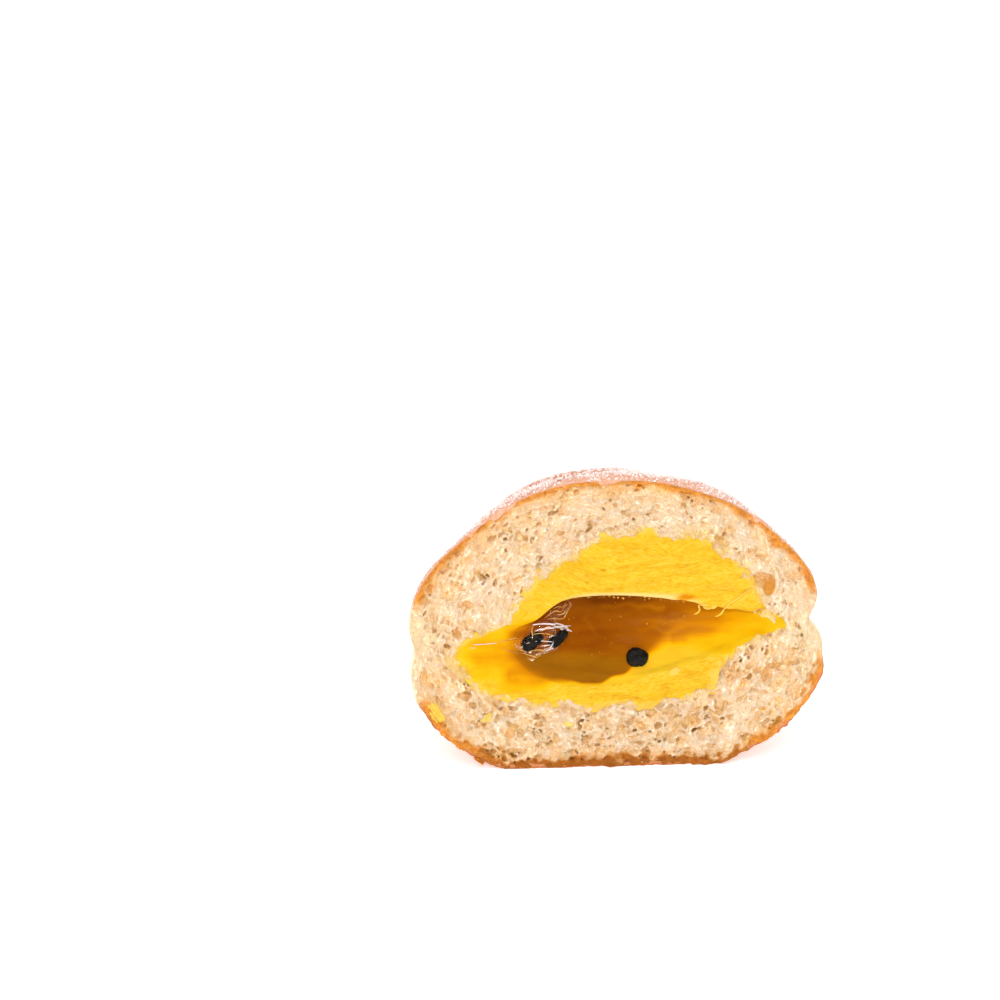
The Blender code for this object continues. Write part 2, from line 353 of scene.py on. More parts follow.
def newMaterial(name, values):
    # a Principled material with these constant values
    material = bpy.data.materials.new(name)
    material.use_nodes = True
    tree = material.node_tree
    shader = tree.nodes["Principled BSDF"]
    for key, value in values.items():
        shader.inputs[key].default_value = value
    return material, tree, shader


def connect(tree, shader, **sockets):
    for name, socket in sockets.items():
        tree.links.new(socket, shader.inputs[name.replace("_", " ")])


def bumpFrom(tree, height, strength, distance):
    node = addNode(tree, "Bump", {"Height": height, "Strength": strength, "Distance": distance})
    return node.outputs["Normal"]


# The dough's outside

def swelling(angle, back):
    # how far the crust swells here; back is 0 at the cut and 1 at the middle of the back
    total = 0.0
    for degrees, high, wide, growth in whole["swells"]:
        away = (np.degrees(angle) - degrees + 180) % 360 - 180
        total = total + high * hump(away / wide) * (1 - back * back) ** 3 * (1 + growth * back)
    return total


def domeRadius(directions):
    # how far the crust lies from the section's centre in these directions
    x, y, z = directions.T
    level = np.hypot(x, y)
    rise = np.where(z > 0, whole["domeRise"], whole["bellyDrop"])
    power = np.where(z > 0, whole["domePower"], whole["bellyPower"])
    across = (level / (whole["width"] / 2)) ** power
    radius = (across + (np.abs(z) / rise) ** power) ** (-1 / power)
    radius -= whole["waistDepth"] * hump(fromWaist(directions) / whole["waistSpread"])
    lumps = [noise.noise(Vector(d)) for d in directions * whole["lumps"]]
    return radius + swelling(np.arctan2(z, x), y) + whole["lumpHeight"] * np.array(lumps)


def fromWaist(directions):
    # the angle above the pale ring
    x, y, z = directions.T
    level = np.maximum(np.hypot(x, y), 1e-9)
    return np.arcsin(np.clip(z, -1, 1)) - whole["waistTilt"] * x / level


# the section's outline, worked out once
outlineAngles = np.linspace(-math.pi, math.pi, 1441)
outlineReach = domeRadius(around(outlineAngles))
flatReach = whole["axisHeight"] / np.maximum(-np.sin(outlineAngles), 1e-6)
outlineReach = np.minimum(outlineReach, flatReach)


def crustReach(angle):
    return np.interp(angle, outlineAngles, outlineReach)


# Where the cream ends in the cut: the angle in degrees, and the reach from the centre
creamOutline = {
    0: 35.8, 4: 34.6, 7: 33.4, 14: 31.3, 22: 30.6, 30: 30.0, 46: 28.0, 70: 24.2, 94: 21.8, 122: 20.3,
    152: 21.2, 172: 23.6, 188: 35.8, 203: 31.6, 217: 25.4, 238: 18.8, 270: 16.0, 297: 18.2, 319: 22.0,
    327: 24.4, 331: 24.3, 334: 22.8, 337: 22.5, 339.5: 24.1, 342: 23.3, 344.5: 25.1, 346.5: 24.3,
    349: 26.5, 351: 26.2, 354: 28.9, 357: 31.0, 358.6: 33.2,
}


def creamReach(angle):
    at = np.array([*creamOutline, 360.0])
    reach = np.array([*creamOutline.values(), creamOutline[0]])
    degrees = np.degrees(angle) % 360
    index = np.clip(np.searchsorted(at, degrees, side="right") - 1, 0, len(at) - 2)
    share = (degrees - at[index]) / (at[index + 1] - at[index])
    return mix(reach[index], reach[index + 1], share * share * (3 - 2 * share))


def fromCream(x, z):
    # how far outside the cream's edge these places lie
    angle, distance = polar(x, z)
    return distance - creamReach(angle)


def insideCrust(angle, distance, y):
    # how far inside the crust's outline a place lies, at this depth behind the cut
    back = np.maximum(y, 0) / (whole["width"] / 2)
    reach = crustReach(angle) * np.sqrt(1 - back**2)
    return reach + swelling(angle, back) - swelling(angle, 0) - distance


# The crumb: an airy slab just behind the cut, with cells that the knife has opened

crumb = {
    "voxel": 0.21,
    "front": -1.0,
    "back": 5.75,
    "tries": 90000,
    "cellRadius": (0.28, 0.85),
    "cellDepth": 3.0,  # behind the cut, as deep as the cells are made
    "packing": 0.76,  # lower crowds the cells more
    "swell": 1.22,  # how far the cells grow into each other
    "openDepth": (0.5, 0.3, 0.5),  # open behind the cut: usually, how it varies, and where it is deep
    "domeStretch": 1.6,  # cells lie flattened along the dome
    "bowls": [(1.7, 0.34, 41), (0.9, 0.22, 42)],  # torn cells in the cut: spacing, depth, seed
    "crinkles": [(1.5, 0.34, 43), (0.85, 0.2, 44)],  # curled walls torn by the knife: size, depth, seed
    "underCream": 3.4,  # how far the crumb runs on behind the cream's edge
    # smooth dishes of the largest holes: x, z, half length, half height, depth
    "dishes": [(31.6, 11.2, 2.6, 1.35, 2.3), (32.9, 9.8, 1.25, 2.3, 2.3), (37.6, 12.1, 1.5, 1.0, 0.9)],
    "amber": (33.4, 8.9, 1.9, 2.4),  # where they are amber: x, z, half length, half height
    # dough drawn out into fibres beside the large hole: radius and path
    "fibres": [
        (0.5, [(34.3, 13.0), (34.7, 10.7), (34.3, 8.7), (33.6, 6.9)]),
        (0.38, [(36.5, 11.2), (35.8, 9.4), (34.9, 7.8), (33.9, 6.2)]),
        (0.34, [(38.0, 10.5), (36.9, 8.9), (35.8, 7.6), (34.7, 6.4)]),
        (0.4, [(30.6, 6.9), (32.5, 6.4), (34.5, 6.2), (36.5, 6.9), (38.0, 7.6)]),
        (0.34, [(31.0, 5.8), (32.5, 5.3), (33.6, 4.2), (34.1, 2.4)]),
        (0.36, [(34.1, 2.4), (35.2, 2.8), (36.2, 3.7), (37.3, 4.2)]),
    ],
    "wall": 0.2,  # how thick the walls between cells are, and how much of that varies
    "wallVaries": 0.6,
    "warp": 0.2,  # how far the cells are bent out of round
    "seed": 5,
    "roomOrigin": (-46.0, -1.0, -32.0),  # the coarse grid that says where there is room for a cell
    "roomStep": 0.4,
    "roomShape": (232, 22, 170),
    # the large holes that show: x, z, half length, half height, turn in degrees
    "holes": [
        (35.7, 8.9, 1.6, 0.5, 62), (34.5, 6.2, 0.5, 0.7, 0), (36.9, 6.7, 0.9, 0.4, 30),
        (34.7, 7.6, 0.8, 0.35, 35), (-34.2, 0.4, 0.9, 2.2, 20), (-31.2, 3.2, 1.6, 0.8, 30),
        (-19.8, 19.4, 1.7, 1.1, 35), (-27.6, 13.2, 1.4, 0.9, 50), (22.0, 20.4, 1.9, 0.9, -35),
        (-6.2, -21.5, 1.9, 1.0, -18), (-1.6, -21.9, 1.8, 0.8, -30), (-22.0, -27.2, 2.5, 0.9, 34),
        (-14.6, -25.6, 1.4, 0.8, 15), (5.4, -21.4, 1.9, 1.4, -10), (9.6, -25.2, 1.4, 0.7, 0),
        (22.6, -18.5, 0.6, 0.7, 0), (23.8, -20.6, 1.2, 0.5, 0), (18.0, -23.6, 0.8, 0.5, 60),
        (27.0, -25.2, 1.0, 0.5, 10), (27.8, -6.9, 1.0, 0.7, 40), (33.0, -4.6, 1.1, 0.6, 15),
        (38.2, -8.3, 0.4, 1.1, 5), (-31.6, -13.4, 1.3, 1.0, 60),
    ],
}


def blockAround(place, reach, origin, step, shape):
    # the part of a grid that lies within reach of a place
    low = np.clip(((place - reach - origin) / step).astype(int), 0, shape)
    high = np.clip(((place + reach - origin) / step).astype(int) + 2, 0, shape)
    return tuple(slice(a, b) for a, b in zip(low, high))


def scatterCells():
    # the gas cells: place, three radii and turn, the largest first and none crowding another
    draw = np.random.default_rng(crumb["seed"])
    tries = crumb["tries"]
    low, high = crumb["cellRadius"]
    ranges = (-45, 45), (-0.9, crumb["cellDepth"]), (-31, 34)
    place = np.stack([draw.uniform(*between, tries) for between in ranges], axis=1)
    angle, distance = polar(place[:, 0], place[:, 2])
    fromCrust = crustReach(angle) - distance
    coarse = mix(1.15, 0.9, ease(place[:, 2], -14, 6))
    size = np.sort(draw.random(tries) ** 2.4)[::-1]
    size = (low + (high - low) * size) * coarse
    size = np.minimum(size, 0.25 + 0.28 * np.maximum(fromCrust, 0))
    inside = (fromCrust > 0.8) & (distance > creamReach(angle) - 1.6)
    stretch = mix(1.0, crumb["domeStretch"], ease(place[:, 2], -14, 8))
    stretch = stretch * draw.uniform(0.8, 1.25, tries)
    turn = angle + math.pi / 2 + draw.normal(0, 0.3, tries)
    turn += draw.uniform(-1.5, 1.5, tries) * (place[:, 2] < -12)
    thick = draw.uniform(0.8, 1.2, tries)
    origin, step = np.array(crumb["roomOrigin"]), crumb["roomStep"]
    room = np.full(crumb["roomShape"], 9.0, np.float32)
    lines = np.ogrid[tuple(slice(count) for count in room.shape)]
    lines = [line * step + start for line, start in zip(lines, origin)]
    cells = []
    for x, z, a, b, degrees in crumb["holes"]:
        cells.append((np.array([x, 0.2, z]), (a, 0.9 * (a * b) ** 0.5, b), math.radians(degrees)))

    def occupy(centre, radius):
        block = blockAround(centre, radius + high * 1.2, origin, step, room.shape)
        offsets = [lines[i][tuple(block[i] if k == i else slice(None) for k in range(3))] for i in range(3)]
        away = sum((line - centre[i]) ** 2 for i, line in enumerate(offsets)) ** 0.5
        room[block] = np.minimum(room[block], away - crumb["packing"] * radius)

    for centre, radii, _ in cells:
        occupy(centre, (radii[0] * radii[2]) ** 0.5)
    spot = ((place - origin) / step + 0.5).astype(int)
    for i in np.nonzero(inside)[0]:
        if room[tuple(spot[i])] < crumb["packing"] * size[i]:
            continue
        occupy(place[i], size[i])
        s = stretch[i]
        cells.append((place[i], (size[i] * s, size[i] * thick[i], size[i] / s**0.7), turn[i]))
    return cells


def besidePath(x, z, path):
    # how far these places lie from a path in the cut, and on which side: above it is positive
    nearest, side = np.full(np.shape(x), 99.0), np.zeros(np.shape(x))
    for (x1, z1), (x2, z2) in zip(path, path[1:]):
        dx, dz = x2 - x1, z2 - z1
        along = np.clip(((x - x1) * dx + (z - z1) * dz) / (dx * dx + dz * dz), 0, 1)
        away = np.hypot(x - x1 - along * dx, z - z1 - along * dz)
        above = np.sign(dx * (z - z1) - dz * (x - x1))
        side = np.where(away < nearest, above, side)
        nearest = np.minimum(nearest, away)
    return nearest, side


def softCut(x, z):
    # how far the cut lies behind its plane, without its torn cells
    return 0.22 * ripple(flatPoints(x, z), 5.0, 1) + 0.1


def atWaist(x, z):
    # 1 in the pale, denser crumb beside the doughnut's waist
    return hump((z + 0.5) / 6.5) * ease(np.abs(x), 37.5, 41.0)


def tornCells(x, z):
    # the shallow cells that the knife leaves: their depth, and 1 along their thin walls, where a highlight is
    # painted
    flat = flatPoints(x, z)
    wrapped = alongDome(x + 0.35 * ripple(flat, 1.5, 5), z + 0.35 * ripple(flat, 1.5, 6))
    depth, walls = 0.0, 0.0
    for spacing, deep, seed in crumb["bowls"]:
        first, second, chance = cellPattern(wrapped, spacing, seed)
        depth = depth + deep * (0.25 + chance) * ease(second - first, 0.0, 0.42)
        walls = np.maximum(walls, 0.8 * hump((second - first) / 0.12))
    for size, deep, seed in crumb["crinkles"]:
        curl = np.abs(ripple(wrapped, size, seed))
        depth = depth + deep * ease(curl, 0.0, 1.0)
        walls = np.maximum(walls, hump(curl / 0.2))
    angle, distance = polar(x, z)
    calm = ease(fromCream(x, z), 0.0, 2.2) * ease(crustReach(angle) - distance, 0.2, 1.8)
    coarse = mix(1.35, 0.9, ease(z, -14, 6)) * mix(0.55, 1.0, calm) * (1 - 0.5 * atWaist(x, z))
    fringe = 0.26 * ripple(flat, 0.9, 33) * (1 - calm)
    return coarse * depth + fringe, walls * mix(0.3, 1.0, calm)


def dished(x, z):
    # how deep the smooth dishes are here
    depth = 0.0
    for midX, midZ, length, height, deep in crumb["dishes"]:
        away = np.hypot((x - midX) / length, (z - midZ) / height) + 0.1 * ripple(flatPoints(x, z), 1.6, 47)
        depth = np.maximum(depth, deep * np.clip(1.1 - away, 0, 1) ** 0.35 * (away < 1.1))
    return depth


def cutRelief(x, z):
    # how far the crumb lies behind the cut's plane
    under = ease(-fromCream(x, z), 0.0, 2.0)
    soft = softCut(x, z) + 0.08 * ripple(flatPoints(x, z), 1.4, 2) + 0.5 * under + dished(x, z)
    return soft + (tornCells(x, z)[0] - 0.3) * (1 - 0.8 * ease(dished(x, z), 0, 0.5))


def crumbField():
    # positive in the crumb, in millimetres
    step = crumb["voxel"]
    x = np.arange(-46, 46, step, dtype=np.float32)
    y = np.arange(crumb["front"], crumb["back"] + 2 * step, step, dtype=np.float32)
    z = np.arange(-32, 35.5, step, dtype=np.float32)
    origin = np.array([x[0], y[0], z[0]])
    shape = len(x), len(y), len(z)
    warps = [smoothField(shape, 1.6 / step, 30 + axis) * crumb["warp"] for axis in range(3)]
    bent = [x[:, None, None] + warps[0], y[None, :, None] + warps[1], z[None, None, :] + warps[2]]
    nearest, second = (np.full(shape, 1.5, np.float32) for _ in range(2))
    cells = scatterCells()
    for place, radii, turn in cells:
        radii = [radius * crumb["swell"] for radius in radii]
        reach = max(radii) * 1.1 + 0.7
        block = blockAround(place, reach, origin, step, shape)
        dx, dy, dz = (bent[axis][block] - np.float32(place[axis]) for axis in range(3))
        u = (dx * math.cos(turn) + dz * math.sin(turn)) / radii[0]
        v = (dz * math.cos(turn) - dx * math.sin(turn)) / radii[2]
        away = (np.sqrt(u * u + v * v + (dy / radii[1]) ** 2) - 1) * min(radii)
        old, oldSecond = nearest[block], second[block]
        second[block] = np.minimum(np.maximum(old, away), oldSecond)
        nearest[block] = np.minimum(old, away)
    wall = crumb["wall"] * (1 + crumb["wallVaries"] * smoothField(shape, 2.2 / step, 40))
    solid = np.maximum(nearest, (wall - (second - nearest)) / 2)
    flatX, flatZ = np.meshgrid(x, z, indexing="ij")
    angle, distance = polar(flatX, flatZ)
    fromCrust = insideCrust(angle[:, None, :], distance[:, None, :], y[None, :, None])
    behind = y[None, :, None] - cutRelief(flatX, flatZ)[:, None, :]
    noCells = (mix(1.5, 0.7, ease(flatZ, -12, 4)) + 3.0 * atWaist(flatX, flatZ))[:, None, :]
    solid = np.maximum(solid, noCells - fromCrust)  # no open cells in the crust itself
    usual, varies, deep = crumb["openDepth"]
    flat = flatPoints(flatX, flatZ)
    openTo = usual + varies * ripple(flat, 2.6, 3) + deep * ease(ripple(flat, 2.0, 4), 0.7, 2.2)
    for hx, hz, a, b, _ in crumb["holes"]:
        openTo += 0.8 * np.exp(-(((flatX - hx) ** 2 + (flatZ - hz) ** 2) / (1.3 * a * b)))
    openTo *= ease(fromCream(flatX, flatZ), -0.5, 1.5) * (1 - ease(dished(flatX, flatZ), 0, 0.3))
    solid = np.maximum(solid, behind - openTo[:, None, :])
    solid = np.minimum(solid, behind)
    for radius, route in crumb["fibres"]:
        beside = besidePath(flatX, flatZ, route)[0]
        block = np.nonzero(beside.min(axis=1) < 1)[0], np.nonzero(beside.min(axis=0) < 1)[0]
        block = [slice(index[0], index[-1] + 1) for index in block]
        body = radius - np.hypot(beside[block[0], None, block[1]], y[None, :, None] - 0.55)
        part = solid[block[0], :, block[1]]
        solid[block[0], :, block[1]] = np.maximum(part, body)
    lifted = mix(0.02, 0.65, ease(y, 0.4, 1.3))[None, :, None]
    for limit in (
        fromCrust - mix(0.1, 0.65, ease(y, 0.4, 1.3))[None, :, None],
        (fromCream(flatX, flatZ) + crumb["underCream"])[:, None, :],
        crumb["back"] - y[None, :, None],
        (flatZ + whole["axisHeight"])[:, None, :] - lifted,
    ):
        solid = np.minimum(solid, limit)
    for axis in range(3):
        solid[:] = (solid * 4 + np.roll(solid, 1, axis) + np.roll(solid, -1, axis)) / 6
    print("crumb field", shape, "with", len(cells), "cells")
    return solid, origin, step


def amberHole(x, z):
    # the large hole's amber bottom
    midX, midZ, length, height = crumb["amber"]
    return hump(((x - midX) / length) ** 2 + ((z - midZ) / height) ** 2)


def buildCrumb(material):
    solid, origin, step = crumbField()
    grid = openvdb.FloatGrid(background=3 * step)
    grid.copyFromArray(np.clip(-solid, -3 * step, 3 * step))
    points, quads = grid.convertToQuads(isovalue=0.0)
    points = points * step + origin
    faces = quads[:, ::-1].astype(np.int64)
    part = looseParts(len(points), faces)
    names, counts = np.unique(part, return_counts=True)
    faces = faces[part[faces[:, 0]] == names[counts.argmax()]]
    used, index = np.unique(faces, return_inverse=True)
    faces, points = index.reshape(faces.shape), points[used]
    piece = makePiece("crumb", points, faces, material, ["dough"])
    x, y, z = points.T
    fromCrust = insideCrust(*polar(x, z), y)
    stainEdge = -1.6 - 1.6 * ease(np.abs(x + 5), 12, 26)
    amber = 1.4 * amberHole(x, z) * ease(dished(x, z), 0, 0.6)
    paintPoints(
        piece,
        # painted shade: the deeper a pore reaches behind the cut, the darker and more golden its colour
        depth=ease(y - softCut(x, z), -0.1, 1.7) * (1 - 0.2 * ease(dished(x, z), 0, 0.5)),
        # painted highlight along the thin walls, plus the waist's own paler crumb
        walls=tornCells(x, z)[1] * ease(-y + softCut(x, z), -0.7, 0.1) + 0.6 * atWaist(x, z),
        waist=atWaist(x, z),
        halo=np.maximum(crumbHalo(points, fromCrust), amber) + 0.12 * ease(-x, 30, 40),
        browning=browned(points, fromCrust),
        nearCream=ease(-fromCream(x, z), stainEdge, 0.6) * ease(ripple(points, 2.2, 7), -1.8, 0.4),
        under=ease(-z, 8, 20),
        base=ease(-z, 25, 30),
    )
    bent = alongDome(x + 0.5 * ripple(points, 3, 19), z + 0.5 * ripple(points, 3, 20))
    paintFlow(piece, bent + points * (0, 1, 0))
    return piece


# The crust: the browned skin with the dough's core behind the crumb slab

crust = {
    "around": 640,
    "back": 130,
    "thickness": 1.0,
    "coreStart": 5.4,  # how far behind the cut the core begins
    "pocketDepth": 27.0,
    "paleAbove": 8.0,  # the pale ring's edges, from the waist
    "paleBelow": -9.0,
    "paleShift": (-4.0, 1.0),  # added towards the right, above and below
    # how deep the cut is browned, by the angle in degrees
    "bakedDepth": {
        45: 1.2, 70: 1.1, 90: 1.0, 120: 0.9, 150: 1.1, 200: 1.5, 225: 2.1, 245: 2.4, 270: 2.3,
        300: 2.1, 330: 1.6,
    },
    # browner patches in the cut: x, z, half length, half height, share
    "patches": [(-30.3, -26.9, 2.7, 1.3, 1.0), (-40.0, 10.9, 0.8, 1.5, 0.7), (-36.6, 15.6, 0.7, 1.1, 0.35)],
}


def crustBake(directions):
    # 0 in the pale ring about the waist, and 1 over the dome and the belly
    x, y = directions.T[:2]
    level = np.maximum(np.hypot(x, y), 1e-9)
    height = fromWaist(directions) * whole["width"] / 2
    onBall = directions * whole["width"] / 2
    height = height + 1.0 * ripple(onBall, 7, 9) + 0.5 * ripple(onBall, 2, 10)
    above = crust["paleAbove"] + crust["paleShift"][0] * x / level
    below = crust["paleBelow"] + crust["paleShift"][1] * x / level
    return np.maximum(ease(height, above - 1, above + 4), ease(-height, -below - 1, -below + 5))


def bakedDepth(points):
    # how deep baking has browned the cut here, in millimetres
    degrees = np.degrees(np.arctan2(points[:, 2], points[:, 0]))
    return lookUp(crust["bakedDepth"], degrees, 360) * (1 + 0.28 * ripple(points, 1.5, 8))


def browned(points, fromCrust):
    # how far baking has coloured the dough here: 1 on the crust, 0 in the crumb and the pale ring
    deep = bakedDepth(points)
    brown = crustBake(directionOf(points)) * (1 - ease(fromCrust, deep - 0.6, deep + 0.5))
    for x, z, length, height, share in crust["patches"]:
        patch = ((points[:, 0] - x) / length) ** 2 + ((points[:, 2] - z) / height) ** 2
        brown = np.maximum(brown, share * hump(patch))
    return brown


def crumbHalo(points, fromCrust):
    # the yellower crumb under the crust, widest at the upper left
    directions = directionOf(points)
    wide = mix(0.9, 2.4, ease(directions[:, 2] - 0.6 * directions[:, 0], 0.2, 1.2))
    wide = wide * (1 + 0.3 * ripple(points, 2.5, 18))
    return crustBake(directions) * np.exp(-np.maximum(fromCrust - bakedDepth(points), 0) / wide)


def towards(angle, turn):
    # directions at this angle in the cut, turned this far towards the back
    flat = np.cos(turn)
    return np.stack([flat * np.cos(angle), np.sin(turn) + 0 * angle, flat * np.sin(angle)], axis=-1)


def settleFlat(points):
    # the belly has settled on the table: what would be lower is drawn in towards the centre
    share = np.where(points[:, 2] < -whole["axisHeight"], whole["axisHeight"] / -points[:, 2], 1)
    return points * share[:, None]


def pocketRow(angle, turn, gap):
    # the pocket in the dough that the cream fills
    reach = (creamReach(angle) - gap) * np.cos(turn)
    depth = (crust["pocketDepth"] - gap) * np.sin(turn) + 0 * angle
    return np.stack([reach * np.cos(angle), depth, reach * np.sin(angle)], axis=-1)


def closeRows(rows, firstTip=None, lastTip=None):
    # points and faces of rows that close on themselves, with a fan to a tip at either end
    columns = len(rows[0])
    points = [np.concatenate(rows)]
    faces = [gridFaces(len(rows), columns)]
    i, j = np.arange(columns), np.roll(np.arange(columns), -1)
    count = len(rows) * columns
    for tip, at, order in ((firstTip, 0, 1), (lastTip, count - columns, -1)):
        if tip is not None:
            points.append(np.reshape(tip, (1, 3)))
            fan = np.stack([i + at, j + at, np.full(columns, count)][::order], axis=1)
            faces.append(fan[:, ::-1])
            count += 1
    return np.concatenate(points), faces


def buildCrust(material):
    columns, rings = crust["around"], crust["back"]
    angle = fullTurn(columns)
    turns = np.repeat(np.linspace(math.pi / 2, 0, rings + 1)[1:], columns)
    directions = towards(np.tile(angle, rings), turns)
    smooth = settleFlat(directions * domeRadius(directions)[:, None])
    wrinkles = 0.10 * ripple(smooth, 3.2, 11) + 0.06 * ripple(smooth, 1.2, 12)
    rough = 0.12 * ripple(smooth, 0.7, 13) * ease(-directions[:, 2], 0.2, 0.5)
    outside = smooth + directions * (wrinkles + rough)[:, None]
    outside[:, 2] = np.maximum(outside[:, 2], -whole["axisHeight"])
    rim = np.exp(-np.maximum(outside[:, 1], 0) / 1.2)
    outside[:, 1] += rim * (0.5 + 0.1 * ripple(smooth, 1.8, 14))
    rows = list(outside.reshape(rings, columns, 3))
    reach = crustReach(angle)
    for depth in np.linspace(0, crust["coreStart"], 7):
        direction = towards(angle, np.arcsin(depth / reach))
        row = settleFlat(direction * domeRadius(direction)[:, None])
        thickness = crust["thickness"] * (1 + 0.22 * ripple(row, 2.4, 15))
        row = row - direction * thickness[:, None]
        row[:, 2] = np.maximum(row[:, 2], 0.8 - whole["axisHeight"])
        row[:, 1] += (0.8 + 0.1 * ripple(row, 1.5, 16)) * math.exp(-depth)
        rows.append(row)
    wallTurn = math.asin(crust["coreStart"] / crust["pocketDepth"])
    pocketEdge = pocketRow(angle, wallTurn, 0)
    for share in (0.25, 0.5, 0.75):
        rows.append(mix(rows[-1], pocketEdge, share))
    for turn in np.linspace(wallTurn, math.pi / 2, 14)[:-1]:
        rows.append(pocketRow(angle, turn, 0))
    back = domeRadius(np.array([[0.0, 1.0, 0.0]]))[0]
    points, faces = closeRows(rows, (0, back, 0), (0, crust["pocketDepth"], 0))
    piece = makePiece("crust", points, faces, material, ["dough"])
    unit = directionOf(points)
    inwards = np.maximum(domeRadius(unit) - np.linalg.norm(points, axis=1), 0)
    inwards = np.minimum(inwards, np.maximum(points[:, 2] + whole["axisHeight"], 0))
    paintPoints(
        piece,
        browning=crustBake(unit) * hump(inwards / 2.4),
        under=ease(-points[:, 2], 21, 30),
        rubbed=hump(points[:, 1] / 7) * ease(unit[:, 2], 0.05, 0.3),
        dusty=ease(points[:, 1], 0.2, 1.0) * ease(-inwards, -0.5, -0.2) * sugarThickness(points),
    )
    return piece


# The mango cream: a front with knife streaks about the hollow, and its pocket behind

cream = {
    "around": 900,
    "across": 110,
    "proud": 0.45,
    "ragged": 0.55,
    "blend": 4.0,  # over this width at its edge the cream sinks into the crumb
    "sinks": 0.75,
    "streak": 0.075,
    "gap": 0.3,
    "pits": 150,
    "pitSize": (0.15, 0.32),
    "pitDepth": (0.06, 0.2),
    # knife strokes: depth, half width and path, where a negative depth is a ridge
    "strokes": [
        (0.34, 0.32, [(-2.8, 14.4), (-2.2, 14.6), (5.2, 15.3), (9.5, 16.2), (11.1, 16.6)]),
        (0.14, 0.22, [(-1.5, 17.6), (0.9, 17.3), (3.0, 17.6)]),
        (0.16, 0.22, [(5.2, 17.3), (8.5, 17.3), (11.3, 17.8)]),
        (0.3, 0.3, [(-6.7, 13.7), (-5.2, 12.1), (-3.5, 11.2), (-2.0, 10.5), (-0.7, 9.8)]),
        (0.24, 0.3, [(-12.6, 12.8), (-11.1, 11.7), (-9.3, 11.0), (-7.8, 10.3), (-5.6, 9.8)]),
        (-0.25, 0.35, [(-10.8, 14.6), (-9.5, 14.2), (-8.2, 13.5)]),
        (0.2, 0.25, [(6.9, 12.3), (11.3, 12.8), (16.1, 13.5), (18.2, 13.9)]),
        (0.22, 0.25, [(13.5, 14.6), (15.6, 15.1), (17.6, 15.7)]),
        (0.12, 0.2, [(-3.5, 13.0), (2.0, 13.5), (7.4, 13.9), (12.2, 14.4)]),
        (0.12, 0.2, [(-0.2, 11.0), (5.2, 11.4), (10.4, 11.0)]),
        (-0.4, 0.4, [(-0.9, -10.6), (4.3, -10.1), (7.4, -9.7), (10.4, -9.7)]),
        (-0.6, 0.45, [(29.7, 9.3), (28.0, 8.0), (26.0, 6.4), (24.1, 5.0)]),
        (0.3, 0.4, [(29.1, 9.8), (27.1, 8.5), (25.2, 6.9), (23.4, 5.5)]),
        (0.3, 0.35, [(13.2, -10.4), (16.5, -10.1), (19.5, -9.7), (21.7, -9.2)]),
        (-0.3, 0.3, [(15.8, -8.3), (19.1, -7.4), (21.9, -7.4)]),
        (-0.3, 0.35, [(-6.7, -13.3), (-2.4, -13.1), (1.3, -13.1), (4.3, -14.2), (6.5, -14.9)]),
        (0.3, 0.35, [(-0.2, -14.2), (2.2, -14.4), (4.8, -14.9)]),
        (0.35, 0.4, [(10.2, -11.9), (12.2, -11.9), (13.9, -11.7)]),
        (0.35, 0.4, [(18.0, -13.3), (20.0, -12.8), (22.4, -12.4)]),
        (0.3, 0.35, [(16.1, -15.6), (18.2, -14.9), (20.2, -14.2)]),
        (-0.25, 0.35, [(-28.0, -13.3), (-26.3, -12.6), (-24.5, -11.9)]),
        (-0.22, 0.3, [(-27.3, -14.2), (-25.4, -13.5), (-23.7, -12.6)]),
        (0.2, 0.3, [(5.2, -11.3), (8.5, -11.0), (11.3, -10.8)]),
    ],
    # round pits in the cream: x, z, radius and depth
    "dimples": [
        (-3.0, 14.4, 0.5, 0.5), (1.5, 12.4, 0.5, 0.4), (-6.4, 11.7, 0.35, 0.4), (-10.4, 10.8, 0.4, 0.4),
        (0.7, 16.7, 0.7, 0.35), (6.2, 18.9, 0.6, 0.35), (11.4, 11.7, 0.45, 0.35), (13.2, 10.8, 0.4, 0.35),
        (10.3, 18.3, 0.35, 0.3), (4.2, 10.7, 0.4, 0.3),
    ],
    "hollowLeft": (-22.0, -1.2),
    "hollowRight": (36.0, 0.6),
    "hollowRise": 9.3,
    "hollowFall": 10.8,
    "hollowSkew": 0.576,
    "hollowFullness": 0.7,  # how flat its roof is: lower is flatter
    "hollowBlunt": 0.45,  # the same at its right end
    "hollowDepth": 13.0,
    "hollowBottom": (-3.0, 1.0),
    # where the upper lip is uneven: x, lift and half width
    "lipBumps": [(-17.5, -2.6, 4.0), (19.5, -0.5, 1.4), (32.0, 1.1, 2.4), (26.5, 0.5, 1.2)],
    "notch": (15.0, 7.8, 2.5, 0.75),  # where juice shows through the lip: x, z, half length, half height
}


def hollowRim(angle, gap=0.0, uneven=0.0):
    # where the hollow meets the cut
    along = (1 + np.cos(angle)) / 2
    left, right = cream["hollowLeft"], cream["hollowRight"]
    x = mix(left[0] + gap, right[0] - 4 * gap, along)
    z = mix(left[1], right[1], along)
    arc = np.maximum(np.sin(math.pi * along ** cream["hollowSkew"]), 0)
    fullness = mix(cream["hollowFullness"], cream["hollowBlunt"], ease(x, 26, 32))
    up = (cream["hollowRise"] - gap) * arc ** fullness
    for middle, lift, width in cream["lipBumps"]:
        up = up + uneven * lift * hump((x - middle) / width) * ease(arc, 0.0, 0.45)
    torn = 0.2 * ripple(flatPoints(x, 0 * x), 2.2, 59) * ease(x, 8, 16) * ease(-x, -35, -31)
    up = up + uneven * torn
    z = z + np.where(np.sin(angle) >= 0, up, -(cream["hollowFall"] - gap) * arc)
    return flatPoints(x, z)


def overhang(angle):
    # 1 where the cream's lip stands over the juice, 0 where the two lie flush
    x = mix(cream["hollowLeft"][0], cream["hollowRight"][0], (1 + np.cos(angle)) / 2)
    return ease(x, -17, -8) * ease(np.sin(angle), 0.02, 0.22)


